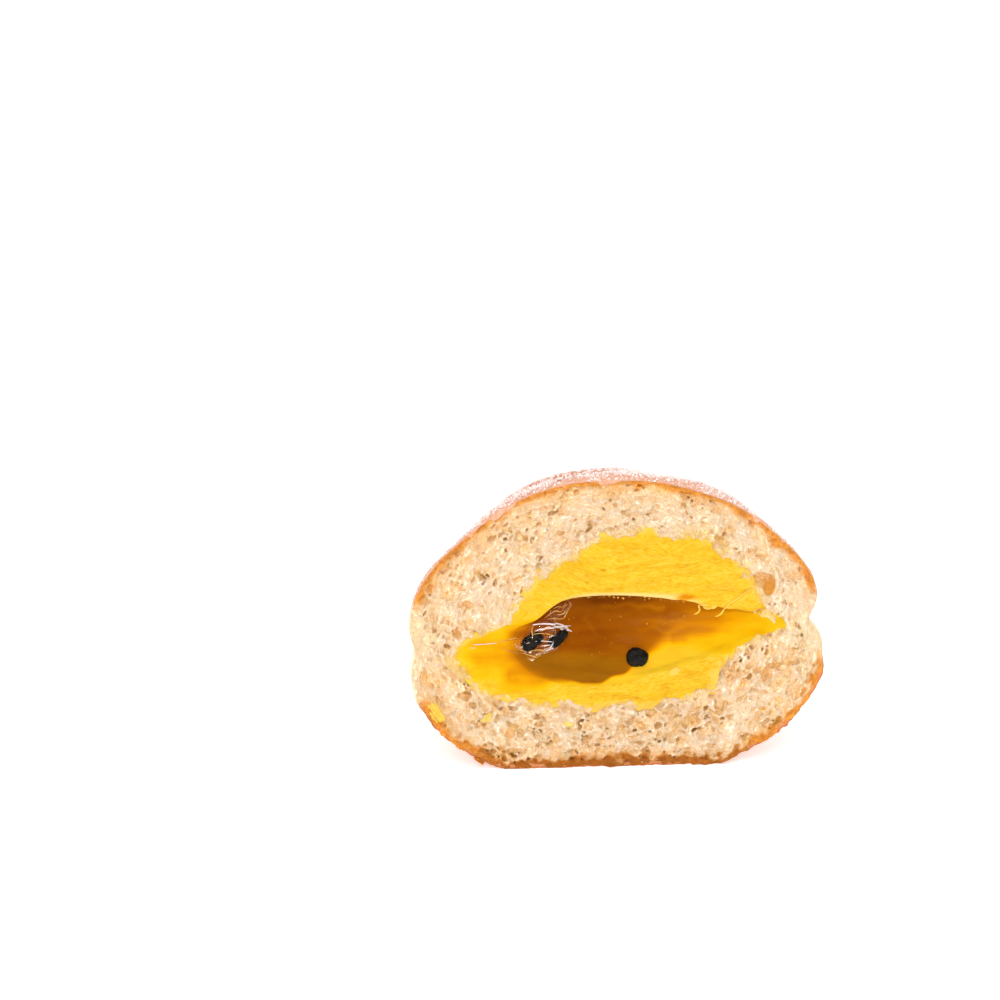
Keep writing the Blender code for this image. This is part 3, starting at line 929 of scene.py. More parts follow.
def hollowRow(angle, turn, gap=0.0, uneven=0.0):
    # the hollow's wall: turn is 0 at the cut and a quarter circle at the bottom
    x, z = cream["hollowBottom"]
    rim = hollowRim(angle, gap, uneven)
    share = np.cos(turn)
    power = 1 + np.maximum(0, np.cos(angle)) ** 2
    power = mix(4.0, power, ease(np.sin(angle), -0.2, 0.15))
    depth = (cream["hollowDepth"] - gap) * np.sin(turn) ** power
    flat = mix(np.array([x, 0.0, z]), rim, np.reshape(share, (-1, 1)))
    flat[:, 1] = depth
    return flat


def notch(x, z):
    midX, midZ, length, height = cream["notch"]
    across = (z - midZ) / (height * (1 - 0.12 * (x - midX)))
    return hump(((x - midX) / length) ** 2 + across**2)


def brushedAcross(x, z):
    # the place across the knife's strokes, which run along the lines where it is constant
    slope = mix(-0.42, 0.13, ease(x, -12, 3)) * ease(z, 0, 6) + 0.16 * ease(-z, 0, 6)
    return z - slope * x + 0.35 * ripple(flatPoints(x, z), 6, 51)


def creamRelief(x, z):
    # how far the cream stands before the cut's plane: swells, knife strokes and pits
    flat = flatPoints(x, z)
    along = brushedAcross(x, z)
    fine = flatPoints(x * 0.13, along) + (0, 9, 0)
    streaks = ripple(flatPoints(x * 0.07, along), 0.8, 52) + 0.8 * ripple(fine, 0.42, 53)
    relief = cream["proud"] + 0.13 * ripple(flat, 7, 55) + cream["streak"] * streaks
    relief += 0.05 * ripple(flat, 1.3, 56) + 0.08 * ripple(flat, 1.8, 49) * ease(-z, -2, 4)
    first, _, chance = cellPattern(flat * (0.7, 1, 1), 1.1, 48)
    relief += 0.09 * (chance - 0.5) * ease(-first, -0.6, -0.1)
    for depth, width, path in cream["strokes"]:
        away, side = besidePath(x, z, path)
        pushed = hump((away * -side - 1.6 * width) / width) * (away < 4 * width)
        relief += 0.6 * (-depth * hump(away / width) + 0.45 * max(depth, 0) * pushed)
    for px, pz, radius, deep in cream["dimples"]:
        near = ((x - px) / (1.3 * radius)) ** 2 + ((z - pz) / (0.8 * radius)) ** 2
        relief -= deep * np.exp(-near)
    draw = np.random.default_rng(17)
    for _ in range(cream["pits"]):
        turn, reach = draw.uniform(0, 2 * math.pi), draw.uniform(9, 27)
        px, pz = reach * math.cos(turn), reach * math.sin(turn)
        size, deep = draw.uniform(*cream["pitSize"]), draw.uniform(*cream["pitDepth"])
        near = ((x - px) / (size * draw.uniform(1.2, 2.4))) ** 2 + ((z - pz) / size) ** 2
        relief -= deep * np.exp(-near)
    relief = mix(relief, cream["proud"] + 0.12 * ripple(flat, 5, 50), ease(spill(x, z), 0.08, 0.25))
    return relief - 0.6 * notch(x, z)


def creamFineness(x, z):
    # the cream's finest relief alone, for its colour: a highlight is painted on the ridges and shade in the
    # creases
    relief = creamRelief(x, z)
    return (relief - cream["proud"] - 0.13 * ripple(flatPoints(x, z), 7, 55)) / 0.2


def buildCream(material):
    columns, across, wallRows = cream["around"], cream["across"], 25
    angle = fullTurn(columns)
    # towards the right tip each column meets the rim where it is close, not at the same angle
    edgeX = creamReach(angle) * np.cos(angle)
    along = (edgeX - edgeX.min()) / (edgeX.max() - edgeX.min())
    along = mix((1 + np.cos(angle)) / 2, along, ease(edgeX, 0, 18))
    upper = angle <= math.pi
    along[upper], along[~upper] = np.sort(along[upper])[::-1], np.sort(along[~upper])
    rimAngle = np.where(upper, 1, -1) * np.arccos(2 * along - 1)
    rim = hollowRim(rimAngle, 0, 1)
    ragged = 0.45 * ripple(around(angle) * 26, 2.6, 57) + 0.45 * ripple(around(angle) * 26, 1.0, 58)
    edge = around(angle) * (creamReach(angle) + cream["ragged"] * ragged + 1.2)[:, None]
    turns = np.linspace(math.pi / 2, 0, wallRows + 1)[1:]
    rows = [hollowRow(rimAngle, turn, 0, max(0, 1 - 2.5 * turn)) for turn in turns]
    over = overhang(rimAngle)
    for step in range(1, across + 1):
        share = step / across
        row = mix(rim, edge, share)
        fromRim = np.linalg.norm(row - rim, axis=1)
        fromEdge = np.linalg.norm(row - edge, axis=1)
        relief = creamRelief(row[:, 0], row[:, 2])
        lip = 0.25 * over * hump((fromRim - 0.8) / 0.7)
        rounded = np.sqrt(1 - (1 - np.clip(fromRim / 0.9, 0, 1)) ** 2)
        slow = ease(fromRim, 0, mix(4.2, 8.0, ease(-row[:, 0], 12, 19)))
        thin = ease(fromEdge, 0, cream["blend"])
        row[:, 1] = -(relief + lip) * mix(slow, rounded, over) * thin
        row[:, 1] += cream["sinks"] * (1 - thin) ** 1.5 * ease(fromRim, 0, 1.0)
        rows.append(row)
    for turn in np.linspace(0.08, math.pi / 2, 18)[:-1]:
        rows.append(pocketRow(angle, turn, cream["gap"]))
    x, z = cream["hollowBottom"]
    tips = (x, cream["hollowDepth"], z), (0, crust["pocketDepth"] - cream["gap"], 0)
    points, faces = closeRows(rows, *tips)
    faces = [f[:, ::-1] for f in faces]
    piece = makePiece("cream_filling", points, faces, material, ["mango_cream"])
    x, y, z = points.T
    fromRim = np.full(len(points), 9.0)
    start, end = wallRows * columns, (wallRows + across) * columns
    offsets = points[start:end].reshape(across, columns, 3) - rim
    fromRim[start:end] = np.linalg.norm(offsets[..., ::2], axis=-1).ravel()
    wall = np.arange(len(points)) < start
    reach = mix(0.6, 3.0, ease(-x, 13, 20))
    inHollow = np.where(wall, 1.0, hump(fromRim / reach) * ease(-z, -5, 0))
    wide = 0.9 + 0.6 * ease(x, 2, 12)
    # a highlight painted along the upper lip's edge
    lip = np.exp(-((fromRim / wide) ** 4)) * ease(z, 2, 4) * ease(x, -14, -4) * ease(-x, -20, -14)
    juice = mix(spill(x, z), np.maximum(pool(x, z), spill(x, z)), inHollow)
    ragged = fromCream(x, z) + 0.25 * ripple(flatPoints(x, z), 1.2, 46)
    margin = ease(ragged, -1.2, 0.3) * ease(fromRim, 0.4, 1.6)
    fineness = np.clip(0.5 + 0.25 * creamFineness(x, z), 0, 1)
    paintPoints(
        piece,
        juice=np.maximum(juice, 0.46 * notch(x, z)),
        lip=np.where(wall, 0, lip) * (1 - notch(x, z)),
        margin=np.where(wall, 0, margin),
        # painted highlight on the cream's fine ridges and painted shade in its creases, evened out where
        # juice lies
        ridge=np.where(wall, 0.5, mix(fineness, 0.5, ease(juice, 0.08, 0.25))),
    )
    paintFlow(piece, np.stack([0.2 * x, y, brushedAcross(x, z)], axis=-1))
    return surfaceOf(points[start - columns:end], across + 1, columns)


# The passion fruit jelly in the hollow, with its seeds and their clear sac

jelly = {
    "around": 480,
    "across": 70,
    "gap": -0.04,
    # how deep it lies under the lip, by x
    "depth": {-21: 0.0, -16: 0.9, -8: 4.0, 0: 5.4, 10: 4.8, 20: 2.9, 30: 1.1, 35: 0.2},
    "lap": 1.5,  # how far the juice laps over the cream where they lie flush
    "seedThickness": 2.8,
    # the pool's soft left edge: height, x where it starts, and x where it is full
    "leftShore": [
        (-13, -18, -3), (-10, -23, -8.6), (-7.8, -24.4, -13.7), (-5, -25, -18.6), (0, -25, -19.5),
        (6, -22, -16),
    ],
    # how dark the juice is, by x
    "strength": {-20: 0.92, -4: 0.97, 4: 0.84, 10: 0.68, 16: 0.54, 22: 0.42, 28: 0.32, 34: 0.2},
    # juice that has wetted the cream: x, z, half length, half height, slope, how much and how soft
    "spills": [
        (-23.0, -6.3, 12.5, 9.2, 0.0, 0.36, 0.72), (-20.0, -9.2, 8.0, 4.5, 0.0, 0.16, 0.6),
        (24.0, -1.0, 15.0, 5.0, 0.1, 0.22, 0.6),
    ],
    # lighter wisps in the juice: how much, half width and path
    "wisps": [
        (0.14, 0.6, [(-2.2, 4.6), (-0.2, 4.2), (2.6, 4.6), (5.2, 3.9), (7.8, 3.9), (10.4, 3.5)]),
        (0.08, 0.8, [(-8.9, -8.3), (-6.5, -9.0), (-3.5, -8.3), (0.0, -9.0), (3.0, -8.3)]),
        (0.08, 0.6, [(-13.0, -5.4), (-8.9, -4.5), (-5.2, -5.4), (-0.9, -4.9)]),
        (0.1, 0.5, [(5.2, -0.1), (8.5, 0.3), (11.3, -0.4), (14.8, 0.1)]),
        (0.08, 0.5, [(-6.5, 2.1), (-5.2, 0.3), (-3.9, -1.0)]),
        (-0.12, 0.8, [(-4.3, 6.4), (-0.9, 6.2), (3.0, 5.8), (7.4, 5.5)]),
        (-0.08, 0.8, [(11.3, 2.1), (14.8, 2.4), (18.2, 1.7), (21.7, 1.7)]),
        (-0.08, 0.5, [(24.1, 4.4), (27.6, 4.2), (31.0, 4.2), (33.2, 2.1), (36.2, 0.1)]),
    ],
    # x, z, turn in degrees, length, height, how boxy (1 is oval, lower is squarer) and how dimpled
    "seeds": [
        (-18.0, -1.4, 34, 5.3, 3.1, 0.7, 0.3),
        (-12.4, -1.2, 44, 5.2, 2.3, 0.75, 0.3),
        (4.7, -5.7, -12, 4.7, 4.2, 0.9, 1.0),
    ],
}


def spill(x, z):
    # how much juice has wetted the cream about the hollow: 0 where it is plain
    wobble = 0.12 * ripple(flatPoints(x, z), 4, 61)
    uneven = 1 + 0.16 * ripple(flatPoints(x * 0.25, z), 1.5, 67)
    total = 0.0
    for midX, midZ, length, height, slope, share, soft in jelly["spills"]:
        within = 1 - np.hypot((x - midX) / length, (z - midZ - slope * (x - midX)) / height) + wobble
        total = total + share * ease(within, 0, soft)
    return total * uneven


def pool(x, z):
    # the juice's depth in the hollow: 0 where cream shows through, 1 where it is darkest; how dark it is
    # stands for the juice's depth and, under the lip, partly for painted shade
    flat = flatPoints(x, z)
    streaks = ripple(flatPoints(x * 0.2, z), 1.6, 62)
    heights, starts, full = np.array(jelly["leftShore"]).T
    wavy = x + 0.7 * ripple(flatPoints(x * 0.3, z), 2.0, 68)
    starts, full = np.interp(z, heights, starts), np.interp(z, heights, full)
    left = 0.28 + 0.72 * np.clip((wavy - starts) / (full - starts), 0, 1)
    shore = np.where(x < 12, -11.7 + 0.53 * np.maximum(x + 3, 0), -4.6 + 0.15 * (x - 12))
    above = (z - shore) / 1.1 + 0.25 * ripple(flat, 2.2, 63)
    soft = mix(1.5, 4.6, ease(x, 2, 14)) + 1.6 * ease(-x, 5, 14)
    level = lookUp(jelly["strength"], x) + 0.04 * streaks
    for depth, width, path in jelly["wisps"]:
        away = besidePath(x, z + 0.3 * ripple(flat, 2.5, 60), path)[0]
        level = level - depth * hump(away / width)
    return ease(above, -0.25 * soft, 0.75 * soft) * left * level


def ochre(x, z):
    # where the pool is thinner and more olive: along its lower left
    ragged = 0.5 * ripple(flatPoints(x * 0.25, z), 1.6, 66)
    return ease(-z + ragged, 3.2, 5.4) * ease(-x, -13, -3) * ease(pool(x, z), 0.45, 0.95)


def jellyDepth(x):
    # how far behind the cut the juice stands under the lip
    fine = np.linspace(min(jelly["depth"]), max(jelly["depth"]), 240)
    deep = np.pad(lookUp(jelly["depth"], fine), 15, mode="edge")
    return np.interp(x, fine, np.convolve(deep, np.ones(31) / 31, "valid"))


def jellyLevel(x, z):
    # how far behind the cut the juice stands: level with it below, and sunk under the lip
    angle = np.linspace(0, math.pi, 400)
    upper, lower = hollowRim(angle), hollowRim(-angle)
    top = np.interp(x, upper[::-1, 0], upper[::-1, 2])
    bottom = np.interp(x, lower[::-1, 0], lower[::-1, 2])
    return jellyDepth(x) * ease((z - bottom) / np.maximum(top - bottom, 1.5), 0.0, 1.0)


def buildJelly(material):
    columns, across = jelly["around"], jelly["across"]
    angle = fullTurn(columns)
    deep = jellyDepth(hollowRim(angle)[:, 0]) * ease(np.sin(angle), 0, 0.12)
    sink = np.arcsin(deep / cream["hollowDepth"])
    over = ease(deep, 0.3, 2.0)
    outer = hollowRow(angle, sink, jelly["gap"])
    away = outer[:, ::2] - np.array(cream["hollowBottom"])
    away /= np.linalg.norm(away, axis=1, keepdims=True)
    lap = jelly["lap"] * (1 - over) * mix(1, 0.4, ease(outer[:, 0], 24, 31))
    outer[:, ::2] += away * lap[:, None]
    x, z = cream["hollowBottom"]
    rows = []
    for step in range(1, across + 1):
        share = math.sin(math.pi / 2 * step / across)
        row = mix(np.array([x, 0.0, z]), outer, share)
        beyond = jelly["lap"] - np.linalg.norm((row - outer)[:, ::2], axis=1)
        row[:, 1] = jellyLevel(row[:, 0], row[:, 2]) - 0.05 * (1 - over)
        wave = 0.09 * ripple(row, 5, 64) * (1 - 0.7 * ease(row[:, 0], 6, 16))
        wave += 0.03 * ripple(row * (0.4, 1, 1), 1.0, 65)
        row[:, 1] += wave * min(1, 4 * (1 - share))
        row[:, 1] += 0.14 * (1 - over) * np.maximum(beyond / jelly["lap"], 0) ** 2
        rows.append(row)
    middle = (x, jellyLevel(np.array([x]), np.array([z]))[0], z)
    front = len(rows) * columns
    for share in np.linspace(0, 1, 14)[1:-1]:
        rows.append(hollowRow(angle, mix(sink, math.pi / 2, share), 0.3))
    points, faces = closeRows(rows, middle, (x, cream["hollowDepth"] - 0.3, z))
    piece = makePiece("juice_jelly", points, faces, material, ["passion_fruit_jelly"])
    x, _, z = points.T
    paintPoints(piece, juice=np.maximum(pool(x, z), spill(x, z)), ochre=ochre(x, z))
    return surfaceOf(points[:front], across, columns)


def depthAt(trees, x, z):
    # how far behind the cut's plane the foremost of these surfaces lies at these places
    depths = []
    for a, b in zip(x, z):
        hits = [tree.ray_cast(Vector((a, -5, b)), Vector((0, 1, 0)))[0] for tree in trees]
        hits = [hit.y for hit in hits if hit]
        depths.append(min(hits) if hits else 0.1)
    return np.array(depths)


def roundBody(columns, rows):
    # unit ball: points and faces
    angle = fullTurn(columns)
    turns = np.linspace(math.pi / 2, -math.pi / 2, rows + 1)[1:-1]
    return closeRows([towards(angle, turn) for turn in turns], (0, 1, 0), (0, -1, 0))


def buildSeeds(tree, material):
    ball, faces = roundBody(64, 40)
    thickness = jelly["seedThickness"]
    for number, (x, z, degrees, length, height, boxy, dimpled) in enumerate(jelly["seeds"], 1):
        w = ball[:, 1]
        u, v = (np.sign(side) * np.abs(side) ** boxy for side in (ball[:, 0], ball[:, 2]))
        narrow = 1 - 0.12 * u
        place = ball * 3 + 20 * number
        skin = 1 + 0.03 * ripple(place, 0.9, 71) + 0.015 * ripple(place, 0.35, 72)
        first, _, _ = cellPattern(place, 0.75, 73)
        skin = 1 + dimpled * (skin - 1 - 0.05 * (1 - ease(first, 0.0, 0.5)))
        turnedX, turnedZ = turned(length / 2 * u * skin, height / 2 * v * narrow * skin, x, z, degrees)
        depth = depthAt([tree], [x], [z])[0] - 0.4 + thickness / 2 * w * narrow * skin
        points = np.stack([turnedX, depth, turnedZ], axis=-1)
        makePiece(f"seed_{number}", points, faces, material, ())


sac = {
    "around": 160,
    "across": 60,
    # two lobes of clear film: x, z, half length, half width, turn in degrees, bulge, wrinkle
    "lobes": [(-15.9, -0.6, 6.0, 4.0, 34, 1.5, 0.34), (-12.4, 4.4, 3.7, 2.0, 38, 0.7, 0.26)],
    "foldLength": 3.2,
    "foldWidth": 1.15,
}


def buildSac(tree, material):
    columns, across = sac["around"], sac["across"]
    trees = []
    for number, (midX, midZ, length, width, degrees, bulge, wrinkle) in enumerate(sac["lobes"], 1):
        outline = 1 + 0.12 * ripple(around(fullTurn(columns)) * 3, 1.6, 73 + number)
        front, behind = [], []
        for share, x, z in ovalRings((midX, midZ), (length, width), degrees, outline, across):
            base = depthAt([tree], x, z)
            folds = flatPoints(x / sac["foldLength"], (z - 0.15 * x) / sac["foldWidth"])
            ridge = 1 - np.abs(ripple(folds + 0.25 * ripple(flatPoints(x, z), 2.0, 78)[:, None], 1.0, 77))
            fine = 1 - np.abs(ripple(folds * (1, 1, 2.2), 1.0, 79))
            dome = math.sqrt(max(1 - share**2, 0))
            high = bulge * dome + wrinkle * (0.7 * ridge + 0.35 * fine + 0.4) * min(1, 6 * (1 - share))
            front.append(np.stack([x, base - high + 0.12, z], axis=-1))
            behind.append(np.stack([x, base + 0.3, z], axis=-1))
        points, faces = closeLens(front, behind)
        makePiece(f"seed_sac_{number}", points, faces, material, ())
        trees.append(surfaceOf(np.concatenate(front), across, columns))
    return trees


bubbles = {"count": 150, "seed": 31, "size": (0.07, 0.2)}  # the least radius, and what it varies by


def buildBubbles(tree, material):
    # specks and bubbles in the juice, half of them under the upper lip
    draw = np.random.default_rng(bubbles["seed"])
    count, half = bubbles["count"], bubbles["count"] // 2
    x = np.concatenate([draw.uniform(-19, 24, half), draw.uniform(-9, 15, count - half)])
    z = draw.uniform(-9, 7, count)
    angle = np.linspace(0.3, 2.8, 400)
    rim = hollowRim(angle, 0, 1)
    top = np.interp(x, rim[::-1, 0], rim[::-1, 2])
    z[half:] = top[half:] - draw.uniform(0.1, 1.2, count - half)
    keep = (pool(x, z) > 0.3) & (z < top - 0.1)
    x, z = x[keep], z[keep]
    least, varies = bubbles["size"]
    size = least + varies * draw.random(len(x)) ** 4
    ball, faces = roundBody(14, 8)
    centre = np.stack([x, depthAt([tree], x, z) - 0.3 * size, z], axis=-1)
    points = (ball[None] * size[:, None, None] + centre[:, None]).reshape(-1, 3)
    shift = (np.arange(len(x)) * len(ball))[:, None, None]
    faces = [(f[None] + shift).reshape(-1, f.shape[1]) for f in faces]
    makePiece("juice_bubbles", points, faces, material, ())


# Thin strands: painted highlights, creases and folds of the film, and strings of cream

strands = {
    # thickness, lift before the surface, and path
    # white strands laid where highlights are painted on the film
    "film_gleams": [
        (0.5, 0.1, [
            (-18.0, 2.4), (-16.3, 2.5), (-14.3, 2.5), (-13.0, 2.1), (-11.7, 1.6), (-10.6, 1.0), (-9.8, 0.1),
        ]),
        (0.42, 0.1, [(-17.6, 1.3), (-15.8, 1.6), (-13.9, 1.6), (-12.2, 1.3), (-10.8, 1.2), (-9.5, 1.2)]),
        (0.5, 0.15, [(-11.7, -0.4), (-10.8, 0.3), (-10.0, 0.4), (-9.3, -0.1)]),
        (0.4, 0.15, [(-12.2, 1.4), (-11.1, 0.5), (-10.2, -0.4)]),
        (0.3, 0.1, [(-14.5, -3.3), (-14.1, -2.4), (-13.5, -1.5)]),
        (0.22, 0.1, [(-15.2, -3.3), (-14.3, -3.1), (-13.2, -2.9)]),
        (0.26, 0.1, [(-19.5, -1.3), (-18.0, -0.9), (-16.3, -0.9), (-14.5, -1.2), (-13.5, -1.4)]),
        (0.2, 0.1, [(-31.2, -1.5), (-29.5, -1.5), (-27.3, -1.5), (-25.6, -1.4)]),
        (0.16, 0.1, [(-31.5, -2.3), (-30.2, -2.3)]),
    ],
    "film_folds": [
        (0.24, 0.08, [(-17.8, 2.4), (-18.3, 1.4), (-18.0, 0.5), (-18.2, -0.4)]),
        (0.24, 0.08, [(-18.0, 0.5), (-16.3, 0.7), (-14.5, 0.3), (-13.2, -0.1)]),
        (0.24, 0.08, [
            (-21.9, -3.1), (-21.3, -2.9), (-20.2, -3.2), (-19.1, -3.3), (-17.6, -2.8), (-16.3, -2.8),
            (-15.6, -3.3), (-14.5, -3.5),
        ]),
        (0.24, 0.08, [
            (-20.6, -3.8), (-19.3, -4.2), (-18.0, -4.3), (-16.9, -4.7), (-16.3, -4.5), (-16.5, -3.7),
        ]),
        (0.18, 0.06, [(-25.6, -1.4), (-23.7, -1.0), (-22.4, -0.7), (-21.0, -0.4)]),
        (0.18, 0.06, [(-24.5, -2.6), (-23.4, -3.2), (-21.9, -3.8), (-20.4, -4.0)]),
        (0.26, 0.08, [
            (-15.0, 3.5), (-13.7, 3.3), (-12.4, 3.1), (-11.1, 3.0), (-10.6, 3.9), (-9.8, 5.1), (-9.3, 5.5),
            (-9.8, 6.4), (-10.6, 6.9),
        ]),
        (0.22, 0.08, [(-14.1, 4.4), (-13.0, 5.2), (-11.7, 4.5), (-11.1, 5.5), (-10.0, 6.2)]),
        (0.22, 0.08, [(-13.5, 5.5), (-12.2, 6.0), (-11.5, 5.3), (-10.4, 6.7)]),
        (0.22, 0.08, [(-15.4, 3.7), (-14.5, 4.2), (-13.9, 4.9), (-14.3, 5.5)]),
        (0.22, 0.08, [(-12.6, 4.2), (-11.5, 3.9), (-10.6, 4.6)]),
    ],
    "cream_folds": [
        (0.5, 0.1, [
            (29.2, 9.8), (27.4, 8.6), (25.9, 7.4), (24.3, 6.4), (23.5, 5.4), (23.1, 4.4), (22.5, 3.5),
            (21.4, 3.1),
        ]),
        (0.5, 0.0, [(16.8, 3.7), (17.8, 4.1), (18.1, 5.0), (17.6, 5.7), (18.6, 6.1), (20.0, 6.0)]),
        (1.0, -0.1, [(18.7, 5.3), (20.2, 5.3), (21.7, 5.8)]),
    ],
}


def smoothPath(path, step=0.22):
    # the path with its corners rounded, as evenly spaced points
    points = np.array(path, float)
    for _ in range(3):
        middle = [mix(points[:-1], points[1:], 0.25), mix(points[:-1], points[1:], 0.75)]
        points = np.concatenate([points[:1], np.stack(middle, 1).reshape(-1, 2), points[-1:]])
    length = np.concatenate([[0], np.cumsum(np.linalg.norm(np.diff(points, axis=0), axis=1))])
    at = np.linspace(0, length[-1], max(8, int(length[-1] / step)))
    return np.stack([np.interp(at, length, points[:, axis]) for axis in (0, 1)], axis=1)


def buildStrands(name, surface, material, slot, **layers):
    # rounded strands that taper at both ends, laid on the surface
    ring = fullTurn(10)
    allPoints, allFaces, count = [], [], 0
    for number, (thickness, lift, path) in enumerate(strands[name]):
        line = smoothPath(path)
        x, z = line.T
        tangent = np.gradient(line, axis=0)
        tangent /= np.linalg.norm(tangent, axis=1, keepdims=True)
        share = np.linspace(0, 1, len(line))
        radius = thickness / 2 * np.clip(np.sin(math.pi * share), 0.02, 1) ** 0.4
        radius = radius * (1 + 0.3 * np.tanh(ripple(flatPoints(x, z) + 7 * number, 1.2, 45)))
        depth = surface(x, z) - lift
        centre = np.stack([x, depth, z], axis=-1)
        across = np.cos(ring)[:, None] * flatPoints(-tangent[:, 1], tangent[:, 0])[:, None]
        offsets = across + 0.8 * np.sin(ring)[:, None] * np.array([0, 1, 0])
        rows = list(centre[:, None] + radius[:, None, None] * offsets)
        points, faces = closeRows(rows, centre[0], centre[-1])
        faces = outwardFaces(points, faces)
        allPoints.append(points)
        allFaces += [f + count for f in faces]
        count += len(points)
    allPoints = np.concatenate(allPoints)
    piece = makePiece(name, allPoints, allFaces, material, ())
    paintPoints(piece, **{key: np.full(len(allPoints), value) for key, value in layers.items()})


# Small bits that lie on the cut

bits = {
    # name: x, z, half length, half height, turn in degrees, thickness, how ragged its edge is, and
    # how pale it is
    "cream_smear_1": (-38.4, -18.0, 3.2, 1.3, 112, 0.3, 0.16, 0.35),
    "cream_smear_2": (-27.6, -19.2, 1.5, 0.9, 20, 0.25, 0.16, 0.75),
    "cream_smear_3": (-10.2, -21.0, 1.3, 0.7, -10, 0.22, 0.16, 0.75),
    "cream_flap_1": (12.9, -9.0, 1.3, 0.95, 20, 0.4, 0.1, 0.35),
    "crust_flake": (-29.3, -28.9, 1.4, 0.5, -32, 0.3, 0.12, 0.35),
}


def buildBit(name, base, material):
    # a thin lens of some substance with a ragged outline, laid on the surface base(x, z)
    midX, midZ, length, height, degrees, thickness, ragged, pale = bits[name]
    columns, across = 72, 20
    seed = 90 + list(bits).index(name)
    circle = around(fullTurn(columns)) * 3
    outline = 1 + ragged * (ripple(circle, 2.4, seed) + 0.5 * ripple(circle, 0.9, seed))
    front, behind = [], []
    for share, x, z in ovalRings((midX, midZ), (length, height), degrees, outline, across):
        high = thickness * math.sqrt(max(1 - share**2, 0)) * (1 + 0.35 * ripple(flatPoints(x, z), 1.1, seed))
        behind.append(np.stack([x, base(x, z) + 0.5 + 0 * x, z], axis=-1))
        front.append(np.stack([x, base(x, z) - high + 0.12, z], axis=-1))
    points, faces = closeLens(front, behind)
    points[:, 2] = np.maximum(points[:, 2], -whole["axisHeight"])
    piece = makePiece(name, points, faces, material, ())
    ones = np.ones(len(points))
    # the ridge layer at 0.7 gives these bits a little painted highlight
    paintPoints(piece, juice=0.02 * ones, lip=pale * ones, ridge=0.7 * ones, browning=ones, base=ones)


# Sugar on the crust

sugar = {
    "fineGrains": 16000,
    "fineSize": (0.16, 0.36),
    "coarseGrains": 5000,
    "coarseSize": (0.3, 0.6),
    "seed": 23,
}

octahedron = (
    np.array([[1, 0, 0], [-1, 0, 0], [0, 1, 0], [0, -1, 0], [0, 0, 1], [0, 0, -1]], float),
    np.array([[0, 2, 4], [2, 1, 4], [1, 3, 4], [3, 0, 4], [2, 0, 5], [1, 2, 5], [3, 1, 5], [0, 3, 5]]),
)
cube = (
    np.array(list(itertools.product((-1, 1), repeat=3)), float) * 0.7,
    np.array([[0, 1, 3, 2], [4, 6, 7, 5], [0, 4, 5, 1], [2, 3, 7, 6], [0, 2, 6, 4], [1, 5, 7, 3]]),
)


def sugarThickness(points):
    # how much sugar lies here: 0 bare, 1 thick
    clumps = ease(ripple(points, 9, 81) + 0.5 * ripple(points, 3, 82), -0.6, 1.8)
    high = ease(fromWaist(directionOf(points)), 0.02, 0.22)
    return (0.3 + 0.7 * clumps) * high + 0.06 * (1 - high)


def sparseRim(points):
    # next to the cut, grains have come off, most of all at the left
    return mix(0.25, 0.4, ease(points[:, 0], -6, 10))


def scatterGrains(name, count, sizes, shape, material):
    draw = np.random.default_rng(sugar["seed"] + count)
    tries = count * 4
    level = draw.uniform(-0.9, 1, tries)
    azimuth = draw.uniform(0, math.pi, tries)
    flat = np.sqrt(1 - level**2)
    direction = np.stack([flat * np.cos(azimuth), flat * np.sin(azimuth), level], axis=-1)
    place = settleFlat(direction * domeRadius(direction)[:, None])
    dense = sugarThickness(place) * mix(sparseRim(place), 1.0, ease(place[:, 1], 1.5, 9))
    keep = draw.random(tries) < dense
    keep &= (place[:, 1] > 0.35) & (place[:, 2] > 0.6 - whole["axisHeight"])
    place, direction = place[keep][:count], direction[keep][:count]
    count = len(place)
    size = draw.uniform(*sizes, count)[:, None] * draw.uniform(0.6, 1.3, (count, 3))
    frames = np.linalg.qr(draw.standard_normal((count, 3, 3)))[0]
    frames[:, :, 0] *= np.sign(np.linalg.det(frames))[:, None]
    template, faces = shape
    points = np.einsum("nij,kj,nj->nki", frames, template, size / 2)
    points = points + (place + direction * (size.mean(axis=1) * 0.3)[:, None])[:, None]
    points = points.reshape(-1, 3)
    points[:, 2] = np.maximum(points[:, 2], -whole["axisHeight"])
    faces = faces[None] + (np.arange(count) * len(template))[:, None, None]
    makePiece(name, points, faces.reshape(-1, faces.shape[-1]), material, (), smooth=False)


# What the pieces are made of

def rampColours(tree, share, stops):
    node = addNode(tree, "ValToRGB", {"Fac": share})
    elements = node.color_ramp.elements
    for number, (position, colour) in enumerate(stops):
        element = elements[number] if number < 2 else elements.new(position)
        element.position = position
        element.color = colour
    return node.outputs["Color"]


# the juice from shallow to deep
juiceColours = [
    (0.0, paint(224, 179, 40)), (0.15, paint(224, 172, 12)), (0.3, paint(220, 155, 3)),
    (0.5, paint(197, 122, 2)), (0.75, paint(158, 86, 2)), (1.0, paint(130, 64, 1)),
]
# multiplied into a colour, from one end of a pattern to the other
tones = {
    "juice swirls": [(0.36, (0.93, 0.9, 0.85, 1)), (0.5, (1, 1, 1, 1)), (0.66, (1.05, 1.08, 1.3, 1))],
    "cream brush lines": [(0.38, (0.91, 0.82, 0.42, 1)), (0.5, (1, 1, 1, 1)), (0.62, (1.02, 1.05, 2.0, 1))],
    # painted shade in the cream's creases and painted highlight on its ridges
    "cream crease shade to ridge highlights": [
        (0.0, (0.95, 0.88, 0.65, 1)), (0.5, (1, 1, 1, 1)), (1.0, (1.02, 1.03, 1.5, 1)),
    ],
    # painted highlight on the crumb's curled edges, a thin painted shadow beside them, and painted shade
    # farther off
    "crumb walls to hollows": [
        (0.0, (1.09, 1.15, 1.4, 1)), (0.03, (1.0, 0.99, 0.98, 1)), (0.046, (0.9, 0.7, 0.4, 1)),
        (0.07, (1.0, 0.99, 0.97, 1)), (0.16, (0.98, 0.92, 0.82, 1)),
    ],
}

